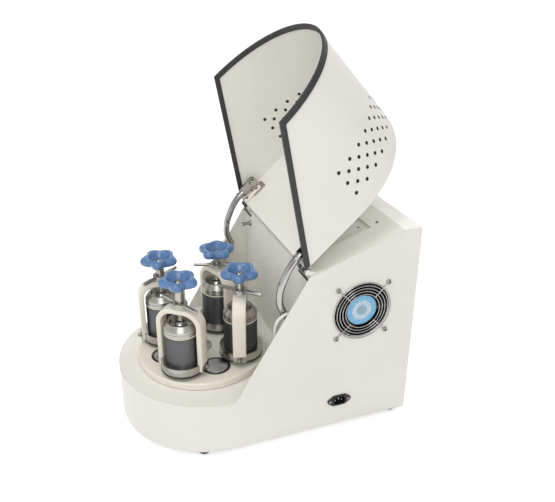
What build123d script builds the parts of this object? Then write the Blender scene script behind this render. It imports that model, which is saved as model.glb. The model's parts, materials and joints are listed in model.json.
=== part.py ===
from build123d import *
import math
import os

# Planetary ball mill: four clamped grinding jars on a geared turntable under a vented, hinged hood.
# Millimetres, Z up, front of the machine towards -Y, hood shown open.
# The casing is drawn about the centre of its half-round front end. The finished model is then moved
# so that the origin lies at bench height in the middle of the footprint.

# Sheet metal casing
SHEET = 1.5
FIT = 0.1
BODY_HALF = 184.7
FOOT_HEIGHT = 12.0
DECK_TOP = 120.6
DECK_SHEET = 3.0
DECK_REACH = 26.0
WALL_FOOT_Y = 148.0
SHOULDER_Y = 143.3
SHOULDER_Z = 358.8
CREST_Y = 334.0
CREST_Z = 424.3
BACK_Y = 369.7
PAN_SHEET = 2.0

# Rubber feet
FOOT_RADIUS = 14.0
FOOT_X = 156.0
FOOT_FRONT_Y = -57.0
FOOT_REAR_Y = 345.0

# Control recess in the sloping top, with its panel and two keys
RECESS_HALF = 124.0
RECESS_START = 62.0
RECESS_END = 160.0
RECESS_DEPTH = 6.0
PANEL_HALF = 110.0
PANEL_LENGTH = 78.0
PANEL_THICKNESS = 4.0
KEY_RADIUS = 7.0
KEY_PROUD = 2.0
KEY_TRAVEL = 1.5
KEY_X = 70.0
KEY_SPACING = 30.0
KEY_GAP = 0.3

# Rear ventilation slots
SLOT_LENGTH = 70.0
SLOT_WIDTH = 5.0
SLOT_PITCH = 14.0
SLOT_ROWS = 8
SLOT_COLUMN_X = 90.0
SLOT_FIRST_Z = 60.0

# Axial fan behind the right side wall
FAN_Y = 254.4
FAN_Z = 269.7
FAN_SIZE = 119.5
FAN_DEPTH = 38.0
FAN_BORE = 57.5
FAN_FLANGE = 4.0
FAN_TUBE_WALL = 2.5
FAN_CORNER = 8.0
FAN_SCREW_SPACING = 104.8
FAN_SCREW_HOLE = 2.2
FAN_HUB = 32.0
FAN_STRUT = 8.0
FAN_STRUT_DEPTH = 3.0
FAN_PIN = 3.0
ROTOR_HUB = 30.0
ROTOR_DEPTH = 27.0
ROTOR_TIP = 56.0
BLADE_COUNT = 7
BLADE_PITCH = 38.0
BLADE_THICKNESS = 1.6
ROTOR_GAP = 0.8

# Wire finger guard
GUARD_RINGS = (35.0, 43.2, 51.5, 60.0)
WIRE = 2.0
GUARD_LIFT = 1.5
EYE_RADIUS = 4.5

# Mains inlet
INLET_Y = 215.9
INLET_Z = 70.15
INLET_FLANGE_W = 50.0
INLET_FLANGE_H = 24.0
INLET_FLANGE_T = 2.5
INLET_BODY_W = 28.0
INLET_BODY_H = 20.5
INLET_BODY_DEPTH = 22.0
SOCKET_W = 24.5
SOCKET_H = 17.0
SOCKET_DEPTH = 16.0

# Sensor peg on the front wall
PEG_X = -143.4
PEG_Z = 332.7
PEG_LENGTH = 20.0
PEG_SHANK = 3.3
PEG_HEAD = 5.0
PEG_BASE = 7.0

# Hood, drawn closed and swung open about its hinge
HINGE_Y = 141.9
HINGE_Z = 368.55
OPEN_ANGLE = 138.2
HOOD_NOSE_Y = 6.9
HOOD_SHEET = 1.5
HOOD_ROUND = 22.0
ROUND_FADE = 45.0
TRIM_DEPTH = 10.0
TRIM_COVER = 2.0
TRIM_SIDE = 1.75
TRIM_GAP = 0.5
HOLE_RADIUS = 3.0
HOLE_PITCH = 13.5
HOLE_LIFT = 139.5
HOLE_FIRST_ANGLE = 7.4
HOLE_COLUMNS = 35

# Hinges at both ends of the shoulder
BARREL_RADIUS = 5.5
BARREL_PIN = 2.5
BARREL_START = 143.0
BARREL_LENGTH = 38.0
KNUCKLES = 5
KNUCKLE_GAP = 0.4
LEAF = 2.5
LEAF_LENGTH = 26.0

# Stays: bent bars pinned to the hood, with their lower pins in slotted guides
STAY_X = 164.0
STAY_RADIUS = 6.75
STAY_TOP = (155.5, 419.0)
STAY_BENDS = ((115.5, 383.0), (95.5, 336.0), (93.1, 306.0))
STAY_FOOT = (103.5, 282.0)
STAY_RADII = (100.0, 80.0, 45.0)
STAY_TURN = 30.0
STAY_EYE = 10.0
STAY_EYE_THICKNESS = 4.0
STAY_FLAT = 28.0
STAY_PIN = 4.0
RUNNING = 0.05
EAR_THICKNESS = 4.0
EAR_GAP = 0.4
EAR_RADIUS = 11.0
GUIDE_FACE = 173.5
GUIDE_PLATE = 3.0
GUIDE_BACK = 181.0
GUIDE_MARGIN = 7.0
GUIDE_HEAD = 6.0
GUIDE_HEAD_THICKNESS = 3.0
GUIDE_PLAY = 0.6
GUIDE_STEPS = 8
GUIDE_PAD = 3.2

# Turntable
TABLE_Y = -13.5
TABLE_RADIUS = 131.0
TABLE_TOP = 136.0
TABLE_PLATE = 4.0
TABLE_SKIRT = 3.0
TABLE_BOTTOM = 122.0
TABLE_EDGE = 3.0
CAP_RADIUS = 19.5
CAP_HEIGHT = 4.0

# Gear train: a fixed sun, four idlers and a planet under each station
MODULE = 2.5
SUN_TEETH = 28
IDLER_TEETH = 35
PLANET_TEETH = 16
PRESSURE_ANGLE = 20.0
THINNING = 0.25
IDLER_OFFSET = 45.0
GEAR_BOTTOM = 124.0
GEAR_FACE = 7.0
PIN_RADIUS = 8.0
PIN_FLANGE = 11.0
PLANET_SHAFT = 12.0

# Idler covers seen on top of the turntable
COVER_RING = 29.0
COVER_DISC = 23.5
COVER_RING_HEIGHT = 1.0
COVER_DISC_HEIGHT = 1.6

# Main shaft, bearing housing and belt drive
SHAFT_RADIUS = 15.0
SHAFT_NECK = 12.0
HOUSING_BARREL = 32.0
HOUSING_FLANGE = 55.0
HOUSING_FLANGE_T = 5.0
HOUSING_SPIGOT = 28.0
HOUSING_LIP = 0.6
HOUSING_BOTTOM = 60.0
BEARING_RADIUS = 24.0
BEARING_LENGTH = 12.0
PULLEY_BOTTOM = 30.0
PULLEY_WIDTH = 20.0
PULLEY_FLANGE = 2.0
PULLEY_LIP = 3.0
TABLE_PULLEY = 45.0
MOTOR_PULLEY = 22.0
BELT_GAP = 0.3
BELT_THICKNESS = 4.0
BELT_CLEAR = 1.0
MOTOR_Y = 262.0
MOTOR_RADIUS = 52.0
MOTOR_LENGTH = 165.0
MOTOR_SHAFT = 9.0
MOTOR_PLATE_Z = 60.0
MOTOR_PLATE = 6.0
MOTOR_PLATE_HALF = 66.0
MOTOR_POST = 7.0
MOTOR_FINS = 20
FIN_THICKNESS = 2.5
FIN_HEIGHT = 6.0

# Stations: number, angle about the turntable, yoke direction, tommy bar direction, height of the nut
STATIONS = (
    (1, -40.0, 50.0, 20.0, 334.4),
    (2, 50.0, -21.0, 47.0, 324.5),
    (3, 140.0, 20.0, 75.0, 318.5),
    (4, 230.0, 85.0, 35.0, 322.8),
)
STATION_GAP = 0.3
HUB_RADIUS = 33.0
BASE_RADIUS = 43.5
BASE_BOTTOM = 143.5
RING_BOTTOM = 146.5
RING_RADIUS = 43.0
RING_TOP = 163.0
RING_FLAT = 37.0
JAR_RADIUS = 33.5
JAR_PLAY = 0.4
JAR_FLOOR = 148.5
JAR_TOP = 224.4
JAR_WALL = 6.5
JAR_BOTTOM = 8.0
GASKET = 2.0
GASKET_PROUD = 0.5
LID_FLANGE = 12.0
LID_TOP = 249.0
LID_RIM = 26.0
LID_LIP = 3.0
DISH_RADIUS = 20.0
DISH_FLOOR = 240.0
SPIGOT_DEPTH = 3.0
YOKE_WIDTH = 26.0
YOKE_BAR = 10.0
YOKE_TOP = 276.8
YOKE_ROUND = 24.0
BOSS_RADIUS = 10.0
BOSS_HEIGHT = 4.0
SCREW_RADIUS = 6.0
SCREW_NECK = 7.5
FOOT_PAD = 12.0
FOOT_PAD_HEIGHT = 3.0
FOOT_CONE = 9.0
FOOT_GAP = 0.2
NUT_RADIUS = 7.5
NUT_HEIGHT = 9.0
LOCK_RADIUS = 15.0
LOCK_HEIGHT = 8.0
BAR_RADIUS = 3.0
BAR_REACH = 48.0
SLEEVE_RADIUS = 8.5
KNOB_LOBES = 5
KNOB_REACH = 38.0
LOBE_RADIUS = 12.0
KNOB_CORE = 24.0
KNOB_THICKNESS = 16.0
KNOB_ROUND = 5.0
KNOB_DISH = 6.0
KNOB_DISH_RADIUS = 21.0

# Worked-out places
SLOPE_ANGLE = math.degrees(math.atan2(CREST_Z - SHOULDER_Z, CREST_Y - SHOULDER_Y))
EDGE_ANGLE = math.degrees(math.atan2(SHOULDER_Z - DECK_TOP, SHOULDER_Y))
INNER_HALF = BODY_HALF - SHEET
SLOPE = Plane(
    origin=(0, SHOULDER_Y, SHOULDER_Z),
    x_dir=(1, 0, 0),
    z_dir=(0, -math.sin(math.radians(SLOPE_ANGLE)), math.cos(math.radians(SLOPE_ANGLE))),
)
WALL = Plane(
    origin=(0, WALL_FOOT_Y, DECK_TOP),
    x_dir=(1, 0, 0),
    z_dir=(0, DECK_TOP - SHOULDER_Z, SHOULDER_Y - WALL_FOOT_Y),
)
TABLE = Pos(0, TABLE_Y, 0)
IDLER_RADIUS = MODULE * (SUN_TEETH + IDLER_TEETH) / 2
MESH_DISTANCE = MODULE * (IDLER_TEETH + PLANET_TEETH) / 2
IDLER_REACH = IDLER_RADIUS * math.cos(math.radians(IDLER_OFFSET))
STATION_RADIUS = IDLER_REACH + math.sqrt(IDLER_REACH ** 2 - IDLER_RADIUS ** 2 + MESH_DISTANCE ** 2)
FIRST_ANGLE = STATIONS[0][1]
FAN_FACE = INNER_HALF
GUARD_TOP = BODY_HALF + GUARD_LIFT + WIRE
HOOD_TURN = Pos(0, HINGE_Y, HINGE_Z) * Rot(-OPEN_ANGLE, 0, 0) * Pos(0, -HINGE_Y, -HINGE_Z)
RECESS_MIDDLE = (RECESS_START + RECESS_END) / 2
LOCK_TOP = YOKE_TOP + BOSS_HEIGHT + STATION_GAP + LOCK_HEIGHT


def ring(outer, inner, bottom, top):
    """Flat-ended ring about the Z axis."""
    return Pos(0, 0, bottom) * extrude(Circle(outer) - Circle(inner), amount=top - bottom)


def disc(radius, bottom, top):
    """Cylinder about the Z axis between two heights."""
    return Pos(0, 0, bottom) * extrude(Circle(radius), amount=top - bottom)


def turned(points):
    """Solid of revolution about Z from a closed outline of (radius, height) points."""
    return revolve(make_face(Plane.XZ * Polyline(*points, close=True)), Axis.Z)


def side_prism(points, start, end):
    """Prism with an outline of (y, z) points, between two values of X."""
    outline = Plane.YZ * Polyline(*points, close=True)
    return Pos(start, 0, 0) * extrude(make_face(outline), amount=end - start, dir=(1, 0, 0))


def mirrored(solid):
    """The solid and its mirror image on the other side of the machine."""
    return solid + mirror(solid, Plane.YZ)


def plan(half, back, nose=0.0):
    """Plan outline: half-round nose with straight sides running back."""
    return Pos(0, nose) * Circle(half) + Pos(0, (nose + back) / 2) * Rectangle(2 * half, back - nose)


def parallel_path(points, distance):
    """Mitred parallel of an open path of (y, z) points, to its right-hand side."""
    shifted = []
    for i, point in enumerate(points):
        before = points[max(i - 1, 0)]
        after = points[min(i + 1, len(points) - 1)]
        first = Vector(point[0] - before[0], point[1] - before[1])
        second = Vector(after[0] - point[0], after[1] - point[1])
        if i == 0:
            first = second
        if i == len(points) - 1:
            second = first
        normal = Vector(first.Y, -first.X).normalized() + Vector(second.Y, -second.X).normalized()
        scale = 2 * distance / (normal.length ** 2)
        shifted.append((point[0] + normal.X * scale, point[1] + normal.Y * scale))
    return shifted


def edge_point(height, gap):
    """Point (y, z) at a height, a given distance in front of the casing's slanting side edge."""
    slant = math.radians(EDGE_ANGLE)
    return ((height - DECK_TOP) / math.tan(slant) - gap / math.sin(slant), height)


# Casing


def casing_wrap():
    """Side walls and half-round front bent from one sheet, with fan and inlet openings."""
    height = CREST_Z - FOOT_HEIGHT
    shell = extrude(plan(BODY_HALF, BACK_Y) - plan(INNER_HALF, BACK_Y + SHEET), amount=height)
    profile = [
        (-BODY_HALF - SHEET, FOOT_HEIGHT),
        (-BODY_HALF - SHEET, DECK_TOP),
        (0, DECK_TOP),
        (SHOULDER_Y, SHOULDER_Z),
        (CREST_Y, CREST_Z),
        (BACK_Y, CREST_Z),
        (BACK_Y, FOOT_HEIGHT),
    ]
    wrap = Pos(0, 0, FOOT_HEIGHT) * shell & side_prism(profile, -BODY_HALF, BODY_HALF)
    wrap -= Pos(BODY_HALF, FAN_Y, FAN_Z) * Rot(0, 90, 0) * Cylinder(FAN_BORE, 4 * SHEET)
    cut_w = INLET_BODY_W + 2 * FIT
    cut_h = INLET_BODY_H + 2 * FIT
    wrap -= Pos(BODY_HALF, INLET_Y, INLET_Z) * Box(4 * SHEET, cut_w, cut_h)
    return wrap


def chamber_deck():
    """Flat deck under the turntable, with the opening for the bearing housing."""
    plate = extrude(plan(INNER_HALF - FIT, WALL_FOOT_Y + DECK_REACH), amount=-DECK_SHEET)
    deck = Pos(0, 0, DECK_TOP) * plate
    deck -= TABLE * disc(HOUSING_SPIGOT + FIT, DECK_TOP - 2 * DECK_SHEET, DECK_TOP + DECK_SHEET)
    return deck


def upper_cover():
    """Chamber back wall, sloping top with its control recess, and flat crest, folded from one sheet."""
    outer = [
        (WALL_FOOT_Y, DECK_TOP),
        (SHOULDER_Y, SHOULDER_Z),
        (CREST_Y, CREST_Z),
        (BACK_Y, CREST_Z),
    ]
    inner = parallel_path(outer, SHEET)
    half = INNER_HALF - FIT
    cover = side_prism(outer + inner[::-1], -half, half)
    length = RECESS_END - RECESS_START
    tray_depth = RECESS_DEPTH + SHEET
    tray = Box(2 * (RECESS_HALF + SHEET), length + 2 * SHEET, tray_depth)
    pocket = Box(2 * RECESS_HALF, length, 2 * RECESS_DEPTH)
    cover += SLOPE * Pos(0, RECESS_MIDDLE, -tray_depth / 2) * tray
    cover -= SLOPE * Pos(0, RECESS_MIDDLE, 0) * pocket
    return cover


def rear_panel():
    """Back plate with two columns of ventilation slots."""
    height = CREST_Z - SHEET - FIT - FOOT_HEIGHT - PAN_SHEET - FIT
    bottom = FOOT_HEIGHT + PAN_SHEET + FIT
    sketch = Pos(0, bottom + height / 2) * Rectangle(2 * (INNER_HALF - FIT), height)
    for side in (-1, 1):
        for row in range(SLOT_ROWS):
            place = Pos(side * SLOT_COLUMN_X, SLOT_FIRST_Z + row * SLOT_PITCH)
            sketch -= place * SlotOverall(SLOT_LENGTH, SLOT_WIDTH)
    return Pos(0, BACK_Y, 0) * extrude(Plane.XZ * sketch, amount=SHEET)


def base_pan():
    """Bottom plate inside the wrap."""
    plate = extrude(plan(INNER_HALF - FIT, BACK_Y), amount=PAN_SHEET)
    return Pos(0, 0, FOOT_HEIGHT) * plate


def rubber_feet():
    """Four tapered feet under the bottom plate."""
    foot = Solid.make_cone(FOOT_RADIUS - 2, FOOT_RADIUS, FOOT_HEIGHT)
    feet = [
        Pos(side * FOOT_X, y, 0) * foot for side in (-1, 1) for y in (FOOT_FRONT_Y, FOOT_REAR_Y)
    ]
    return Part() + feet


def key_place(index):
    """Centre of a key on the panel, in the slope's own plane."""
    return Pos(KEY_X, RECESS_MIDDLE + (0.5 - index) * KEY_SPACING, 0)


def control_panel():
    """Panel on the floor of the recess, with guide holes for the keys."""
    plate = Box(2 * PANEL_HALF, PANEL_LENGTH, PANEL_THICKNESS)
    lift = PANEL_THICKNESS / 2 - RECESS_DEPTH
    panel = Pos(0, RECESS_MIDDLE, lift) * fillet(plate.edges().filter_by(Axis.Z), 6)
    for index in (0, 1):
        panel -= key_place(index) * Cylinder(KEY_RADIUS + KEY_GAP, 4 * RECESS_DEPTH)
    return SLOPE * panel


def panel_key(index):
    """Round push key standing proud of the panel."""
    top = PANEL_THICKNESS - RECESS_DEPTH + KEY_PROUD
    bottom = -RECESS_DEPTH + KEY_TRAVEL + KEY_GAP
    key = disc(KEY_RADIUS, bottom, top)
    key = fillet(key.edges().group_by(Axis.Z)[-1], 0.8)
    return SLOPE * key_place(index) * key


# Fan and inlet


def fan_place(depth):
    """Frame on the fan's axis, a distance inside the wall, with local Z pointing out."""
    return Pos(FAN_FACE - depth, FAN_Y, FAN_Z) * Rot(0, 90, 0)


def fan_frame():
    """Square-flanged fan housing with the motor hub on three struts at its outer side."""
    flange = extrude(RectangleRounded(FAN_SIZE, FAN_SIZE, FAN_CORNER), amount=FAN_FLANGE)
    body = disc(FAN_BORE + FAN_TUBE_WALL, 0, FAN_DEPTH)
    body += flange + Pos(0, 0, FAN_DEPTH - FAN_FLANGE) * flange
    body -= disc(FAN_BORE, -1, FAN_DEPTH + 1)
    screws = GridLocations(FAN_SCREW_SPACING, FAN_SCREW_SPACING, 2, 2)
    body -= screws * Cylinder(FAN_SCREW_HOLE, 4 * FAN_DEPTH)
    strut = Pos(FAN_BORE / 2, 0, 0) * Box(FAN_BORE + 1, FAN_STRUT, FAN_STRUT_DEPTH)
    top = FAN_DEPTH - FAN_STRUT_DEPTH / 2
    for turn in (90, 210, 330):
        body += Pos(0, 0, top) * Rot(0, 0, turn) * strut
    body += disc(FAN_HUB, FAN_DEPTH - FAN_STRUT_DEPTH, FAN_DEPTH)
    body += disc(FAN_PIN, FAN_DEPTH - FAN_STRUT_DEPTH - ROTOR_DEPTH + 2, FAN_DEPTH)
    return fan_place(FAN_DEPTH) * body


def fan_rotor():
    """Rotor cup with pitched blades."""
    top = FAN_DEPTH - FAN_STRUT_DEPTH - ROTOR_GAP
    bottom = top - ROTOR_DEPTH
    rotor = disc(ROTOR_HUB, bottom, top)
    span = ROTOR_TIP - ROTOR_HUB + 4
    blade = Box(span, BLADE_THICKNESS, ROTOR_DEPTH * 1.1)
    blade = Pos(ROTOR_TIP - span / 2, 0, (top + bottom) / 2) * Rot(BLADE_PITCH, 0, 0) * blade
    trimmed = blade & ring(ROTOR_TIP, ROTOR_HUB - 2, bottom + 1, top - 1)
    for index in range(BLADE_COUNT):
        rotor += Rot(0, 0, index * 360 / BLADE_COUNT) * trimmed
    rotor -= disc(FAN_PIN + RUNNING, bottom - 1, top + 1)
    return fan_place(FAN_DEPTH) * rotor


def fan_guard():
    """Finger guard: four rings on four arms that end in screw eyes."""
    bottom = GUARD_LIFT
    top = GUARD_LIFT + WIRE
    guard = Part()
    for radius in GUARD_RINGS:
        guard += ring(radius + WIRE / 2, radius - WIRE / 2, bottom, top)
    reach = FAN_SCREW_SPACING / 2 * math.sqrt(2)
    arm_length = reach - GUARD_RINGS[0]
    for turn in (45, 135, 225, 315):
        arm = Pos(GUARD_RINGS[0] + arm_length / 2, 0, bottom + WIRE / 2) * Box(arm_length, WIRE, WIRE)
        eye = Pos(reach, 0, 0) * disc(EYE_RADIUS, 0, top)
        guard += Rot(0, 0, turn) * (arm + eye)
    for turn in (45, 135, 225, 315):
        guard -= Rot(0, 0, turn) * Pos(reach, 0, 0) * disc(FAN_SCREW_HOLE, -1, top + 1)
    return fan_place(-SHEET) * guard


def mains_inlet():
    """Panel-mounted appliance inlet with three flat pins in its socket."""
    place = Pos(BODY_HALF, INLET_Y, INLET_Z)
    flange = Pos(INLET_FLANGE_T / 2, 0, 0) * Box(INLET_FLANGE_T, INLET_FLANGE_W, INLET_FLANGE_H)
    flange = fillet(flange.edges().filter_by(Axis.X), 5)
    body = Pos(-INLET_BODY_DEPTH / 2, 0, 0) * Box(INLET_BODY_DEPTH, INLET_BODY_W, INLET_BODY_H)
    inlet = flange + body
    mouth = Pos(INLET_FLANGE_T - SOCKET_DEPTH / 2, 0, 0) * Box(SOCKET_DEPTH, SOCKET_W, SOCKET_H)
    inlet -= mouth
    floor = INLET_FLANGE_T - SOCKET_DEPTH
    pin_length = SOCKET_DEPTH - 4
    for y, z in ((-7, -3.5), (7, -3.5), (0, 0.5)):
        inlet += Pos(floor + pin_length / 2, y, z) * Box(pin_length, 2, 4)
    return place * inlet


def hood_sensor_peg():
    """Flared peg on the chamber's back wall."""
    height = (PEG_Z - DECK_TOP) / math.cos(math.atan2(WALL_FOOT_Y - SHOULDER_Y, SHOULDER_Z - DECK_TOP))
    neck = PEG_LENGTH - PEG_HEAD
    outline = [
        (0, 0),
        (PEG_BASE, 0),
        (PEG_SHANK, PEG_LENGTH / 4),
        (PEG_SHANK, neck),
        (PEG_HEAD, neck + 1.5),
        (PEG_HEAD, PEG_LENGTH - 1),
        (PEG_HEAD - 1, PEG_LENGTH),
        (0, PEG_LENGTH),
    ]
    return WALL * Pos(PEG_X, height, 0) * turned(outline)


# Hood


def hood_solid(inset, bottom, gap, top):
    """Solid hood form: half-round nose, slanting rear edge and a front corner whose rounding
    fades out towards the sides."""
    half = BODY_HALF - inset
    body = Pos(0, 0, bottom) * extrude(plan(half, BACK_Y, HOOD_NOSE_Y), amount=top - bottom)
    rear_low = edge_point(bottom, gap)
    rear_high = edge_point(top, gap)
    front = HOOD_NOSE_Y - BODY_HALF - 1
    body &= side_prism([(front, bottom), rear_low, rear_high, (front, top)], -half, half)
    return body


def nose_rounding(inset, top):
    """Larger round whose top corner cuts the hood's front corner and misses its sides."""
    radius = BODY_HALF - inset + ROUND_FADE
    corner = HOOD_ROUND - inset
    shape = disc(radius + 0.4, 0, top)
    shape = fillet(shape.edges().group_by(Axis.Z)[-1], corner)
    return Pos(0, HOOD_NOSE_Y + ROUND_FADE, 0) * shape


def vent_holes():
    """Staggered vent holes round the hood's nose."""
    holes = []
    step = (180 - 2 * HOLE_FIRST_ANGLE) / (HOLE_COLUMNS - 1)
    base = DECK_TOP + TRIM_GAP + TRIM_DEPTH / 2 + HOLE_LIFT
    drill = Rot(0, 90, 0) * Cylinder(HOLE_RADIUS, 20)
    for column in range(HOLE_COLUMNS):
        turn = -HOLE_FIRST_ANGLE - column * step
        rows = (0, 2, 4) if column % 2 == 0 else (1, 3)
        for row in rows:
            lift = base + row * HOLE_PITCH
            holes.append(Pos(0, HOOD_NOSE_Y, lift) * Rot(0, 0, turn) * Pos(BODY_HALF, 0, 0) * drill)
    return holes


def hood_shell():
    """Sheet-metal hood: flat top plate, half-round wall and sides, with vent holes."""
    bottom = DECK_TOP + TRIM_GAP + TRIM_COVER
    gap = TRIM_GAP + TRIM_COVER
    outer = hood_solid(0, bottom, gap, SHOULDER_Z) & nose_rounding(0, SHOULDER_Z)
    top = SHOULDER_Z - HOOD_SHEET
    inner = hood_solid(HOOD_SHEET, bottom - 1, gap - 4, top) & nose_rounding(HOOD_SHEET, top)
    shell = outer - inner
    shell -= vent_holes()
    return HOOD_TURN * shell


def hood_trim():
    """Rubber edging over the hood's rim and slanting rear edges."""
    bottom = DECK_TOP + TRIM_GAP
    thick = TRIM_SIDE
    outside = extrude(plan(BODY_HALF + thick, BACK_Y, HOOD_NOSE_Y), amount=CREST_Z)
    outside -= extrude(plan(INNER_HALF - thick, BACK_Y + 1, HOOD_NOSE_Y), amount=CREST_Z)
    front = HOOD_NOSE_Y - BODY_HALF - 2 * thick
    roof = SHOULDER_Z - HOOD_SHEET - FIT
    band = [
        (front, bottom),
        edge_point(bottom, TRIM_GAP),
        edge_point(roof, TRIM_GAP),
        edge_point(roof, TRIM_GAP + TRIM_DEPTH),
        edge_point(bottom + TRIM_DEPTH, TRIM_GAP + TRIM_DEPTH),
        (front, bottom + TRIM_DEPTH),
    ]
    trim = outside & side_prism(band, -BODY_HALF - thick, BODY_HALF + thick)
    wall = plan(BODY_HALF, BACK_Y, HOOD_NOSE_Y) - plan(INNER_HALF, BACK_Y + 1, HOOD_NOSE_Y)
    sheet = extrude(wall, amount=CREST_Z)
    low = bottom + TRIM_COVER
    gap = TRIM_GAP + TRIM_COVER
    groove = [(front, low), edge_point(low, gap), edge_point(CREST_Z, gap), (front, CREST_Z)]
    trim -= sheet & side_prism(groove, -BODY_HALF, BODY_HALF)
    return HOOD_TURN * trim


def knuckle_spans():
    """Start and end along X of each hinge knuckle."""
    step = BARREL_LENGTH / KNUCKLES
    return [
        (BARREL_START + i * step, BARREL_START + (i + 1) * step - KNUCKLE_GAP) for i in range(KNUCKLES)
    ]


def along_x(radius, start, end, y, z):
    """Cylinder parallel to X between two values of X."""
    return Pos((start + end) / 2, y, z) * Rot(0, 90, 0) * Cylinder(radius, end - start)


def hinge_blocks():
    """Fixed hinge leaves on the sloping top, with their outer knuckles and pins."""
    end = BARREL_START + BARREL_LENGTH
    leaf = Pos((BARREL_START + end) / 2, LEAF_LENGTH / 2 + 4, LEAF / 2)
    block = SLOPE * leaf * Box(BARREL_LENGTH, LEAF_LENGTH, LEAF)
    for index, (start, stop) in enumerate(knuckle_spans()):
        if index % 2 == 0:
            web = [
                (HINGE_Y, HINGE_Z - BARREL_RADIUS / 2),
                (HINGE_Y, HINGE_Z + BARREL_RADIUS / 2),
                (SHOULDER_Y + 14, SHOULDER_Z + 9),
                (SHOULDER_Y + 14, SHOULDER_Z + 5),
                (SHOULDER_Y + 4, SHOULDER_Z + 1.9),
            ]
            block += side_prism(web, start, stop)
            block += along_x(BARREL_RADIUS, start, stop, HINGE_Y, HINGE_Z)
    block += along_x(BARREL_PIN, BARREL_START, end - KNUCKLE_GAP, HINGE_Y, HINGE_Z)
    return mirrored(block)


def stay_point(angle):
    """Place (y, z) of a stay's lower pin when the hood has closed by an angle in degrees."""
    share = angle / OPEN_ANGLE
    top_y = STAY_TOP[0] - HINGE_Y
    top_z = STAY_TOP[1] - HINGE_Z
    foot_y = STAY_FOOT[0] - STAY_TOP[0]
    foot_z = STAY_FOOT[1] - STAY_TOP[1]
    swing = math.radians(angle)
    lean = math.radians(share * STAY_TURN)
    y = HINGE_Y + top_y * math.cos(swing) - top_z * math.sin(swing)
    z = HINGE_Z + top_y * math.sin(swing) + top_z * math.cos(swing)
    y += foot_y * math.cos(lean) - foot_z * math.sin(lean)
    z += foot_y * math.sin(lean) + foot_z * math.cos(lean)
    return (y, z)


def hood_brackets():
    """Moving hinge leaves, and the ears with bolts that carry the stays, on the hood's top plate."""
    under = SHOULDER_Z - HOOD_SHEET
    end = BARREL_START + BARREL_LENGTH
    centre = (BARREL_START + end) / 2
    rear = edge_point(SHOULDER_Z, TRIM_GAP + TRIM_COVER)[0] - 2
    leaf = Box(BARREL_LENGTH, LEAF_LENGTH, LEAF)
    leaf = Pos(centre, rear - LEAF_LENGTH / 2, SHOULDER_Z + LEAF / 2) * leaf
    for index, (start, stop) in enumerate(knuckle_spans()):
        if index % 2 == 1:
            web = [
                (rear - 14, SHOULDER_Z + LEAF / 2),
                (rear, SHOULDER_Z + LEAF / 2),
                (HINGE_Y, HINGE_Z - BARREL_RADIUS / 2),
                (HINGE_Y, HINGE_Z + BARREL_RADIUS / 2),
            ]
            leaf += side_prism(web, start, stop)
            leaf += along_x(BARREL_RADIUS, start, stop, HINGE_Y, HINGE_Z)
    leaf -= along_x(BARREL_PIN + RUNNING, BARREL_START - 1, end + 1, HINGE_Y, HINGE_Z)
    ear_in = STAY_X + STAY_EYE_THICKNESS / 2 + EAR_GAP
    ear_out = ear_in + EAR_THICKNESS
    closed = HOOD_TURN.inverse() * Pos(0, STAY_TOP[0], STAY_TOP[1])
    eye_y = closed.position.Y
    eye_z = closed.position.Z
    ear_height = under - eye_z
    ear = Box(EAR_THICKNESS, 2 * EAR_RADIUS, ear_height)
    ear = Pos((ear_in + ear_out) / 2, eye_y, eye_z + ear_height / 2) * ear
    ear += along_x(EAR_RADIUS, ear_in, ear_out, eye_y, eye_z)
    foot_mid = (ear_out + STAY_X - 22) / 2
    ear += Pos(foot_mid, eye_y, under - LEAF / 2) * Box(ear_out - STAY_X + 22, 3 * EAR_RADIUS, LEAF)
    bolt_in = STAY_X - STAY_EYE_THICKNESS / 2 - EAR_GAP
    ear += along_x(STAY_PIN, bolt_in - 1, ear_out, eye_y, eye_z)
    ear += along_x(STAY_PIN * 1.7, bolt_in - 5, bolt_in, eye_y, eye_z)
    return HOOD_TURN * (mirrored(leaf) + mirrored(ear))


def hood_stays():
    """Pair of bent chrome bars with flattened upper eyes and lower guide pins."""
    plane = Plane(origin=(STAY_X, 0, 0), x_dir=(0, 1, 0), z_dir=(1, 0, 0))
    path = plane * FilletPolyline(STAY_TOP, *STAY_BENDS, STAY_FOOT, radius=list(STAY_RADII))
    start = Plane(origin=path @ 0, z_dir=path % 0)
    bar = sweep(start * Circle(STAY_RADIUS), path=path)
    heading = math.degrees(math.atan2(STAY_BENDS[0][1] - STAY_TOP[1], STAY_BENDS[0][0] - STAY_TOP[0]))
    at_top = Pos(STAY_X, STAY_TOP[0], STAY_TOP[1]) * Rot(heading, 0, 0)
    bar -= at_top * Pos(0, 0, 0) * Box(4 * STAY_RADIUS, 2 * STAY_FLAT, 4 * STAY_RADIUS)
    flat = Pos(0, STAY_FLAT / 2, 0) * Box(STAY_EYE_THICKNESS, STAY_FLAT, 2 * STAY_EYE)
    flat += Rot(0, 90, 0) * Cylinder(STAY_EYE, STAY_EYE_THICKNESS)
    flat += Pos(0, STAY_FLAT, 0) * Rot(0, 90, 0) * Cylinder(STAY_EYE, STAY_EYE_THICKNESS)
    flat -= Rot(0, 90, 0) * Cylinder(STAY_PIN + RUNNING, 3 * STAY_EYE_THICKNESS)
    bar += at_top * flat
    y, z = STAY_FOOT
    bar += Pos(STAY_X, y, z) * Sphere(STAY_RADIUS + 0.8)
    head_start = GUIDE_FACE + GUIDE_PLATE + GUIDE_PLAY
    head_end = head_start + GUIDE_HEAD_THICKNESS
    bar += along_x(STAY_PIN, STAY_X, head_end, y, z)
    bar += along_x(GUIDE_HEAD, head_start, head_end, y, z)
    return mirrored(bar)


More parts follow.
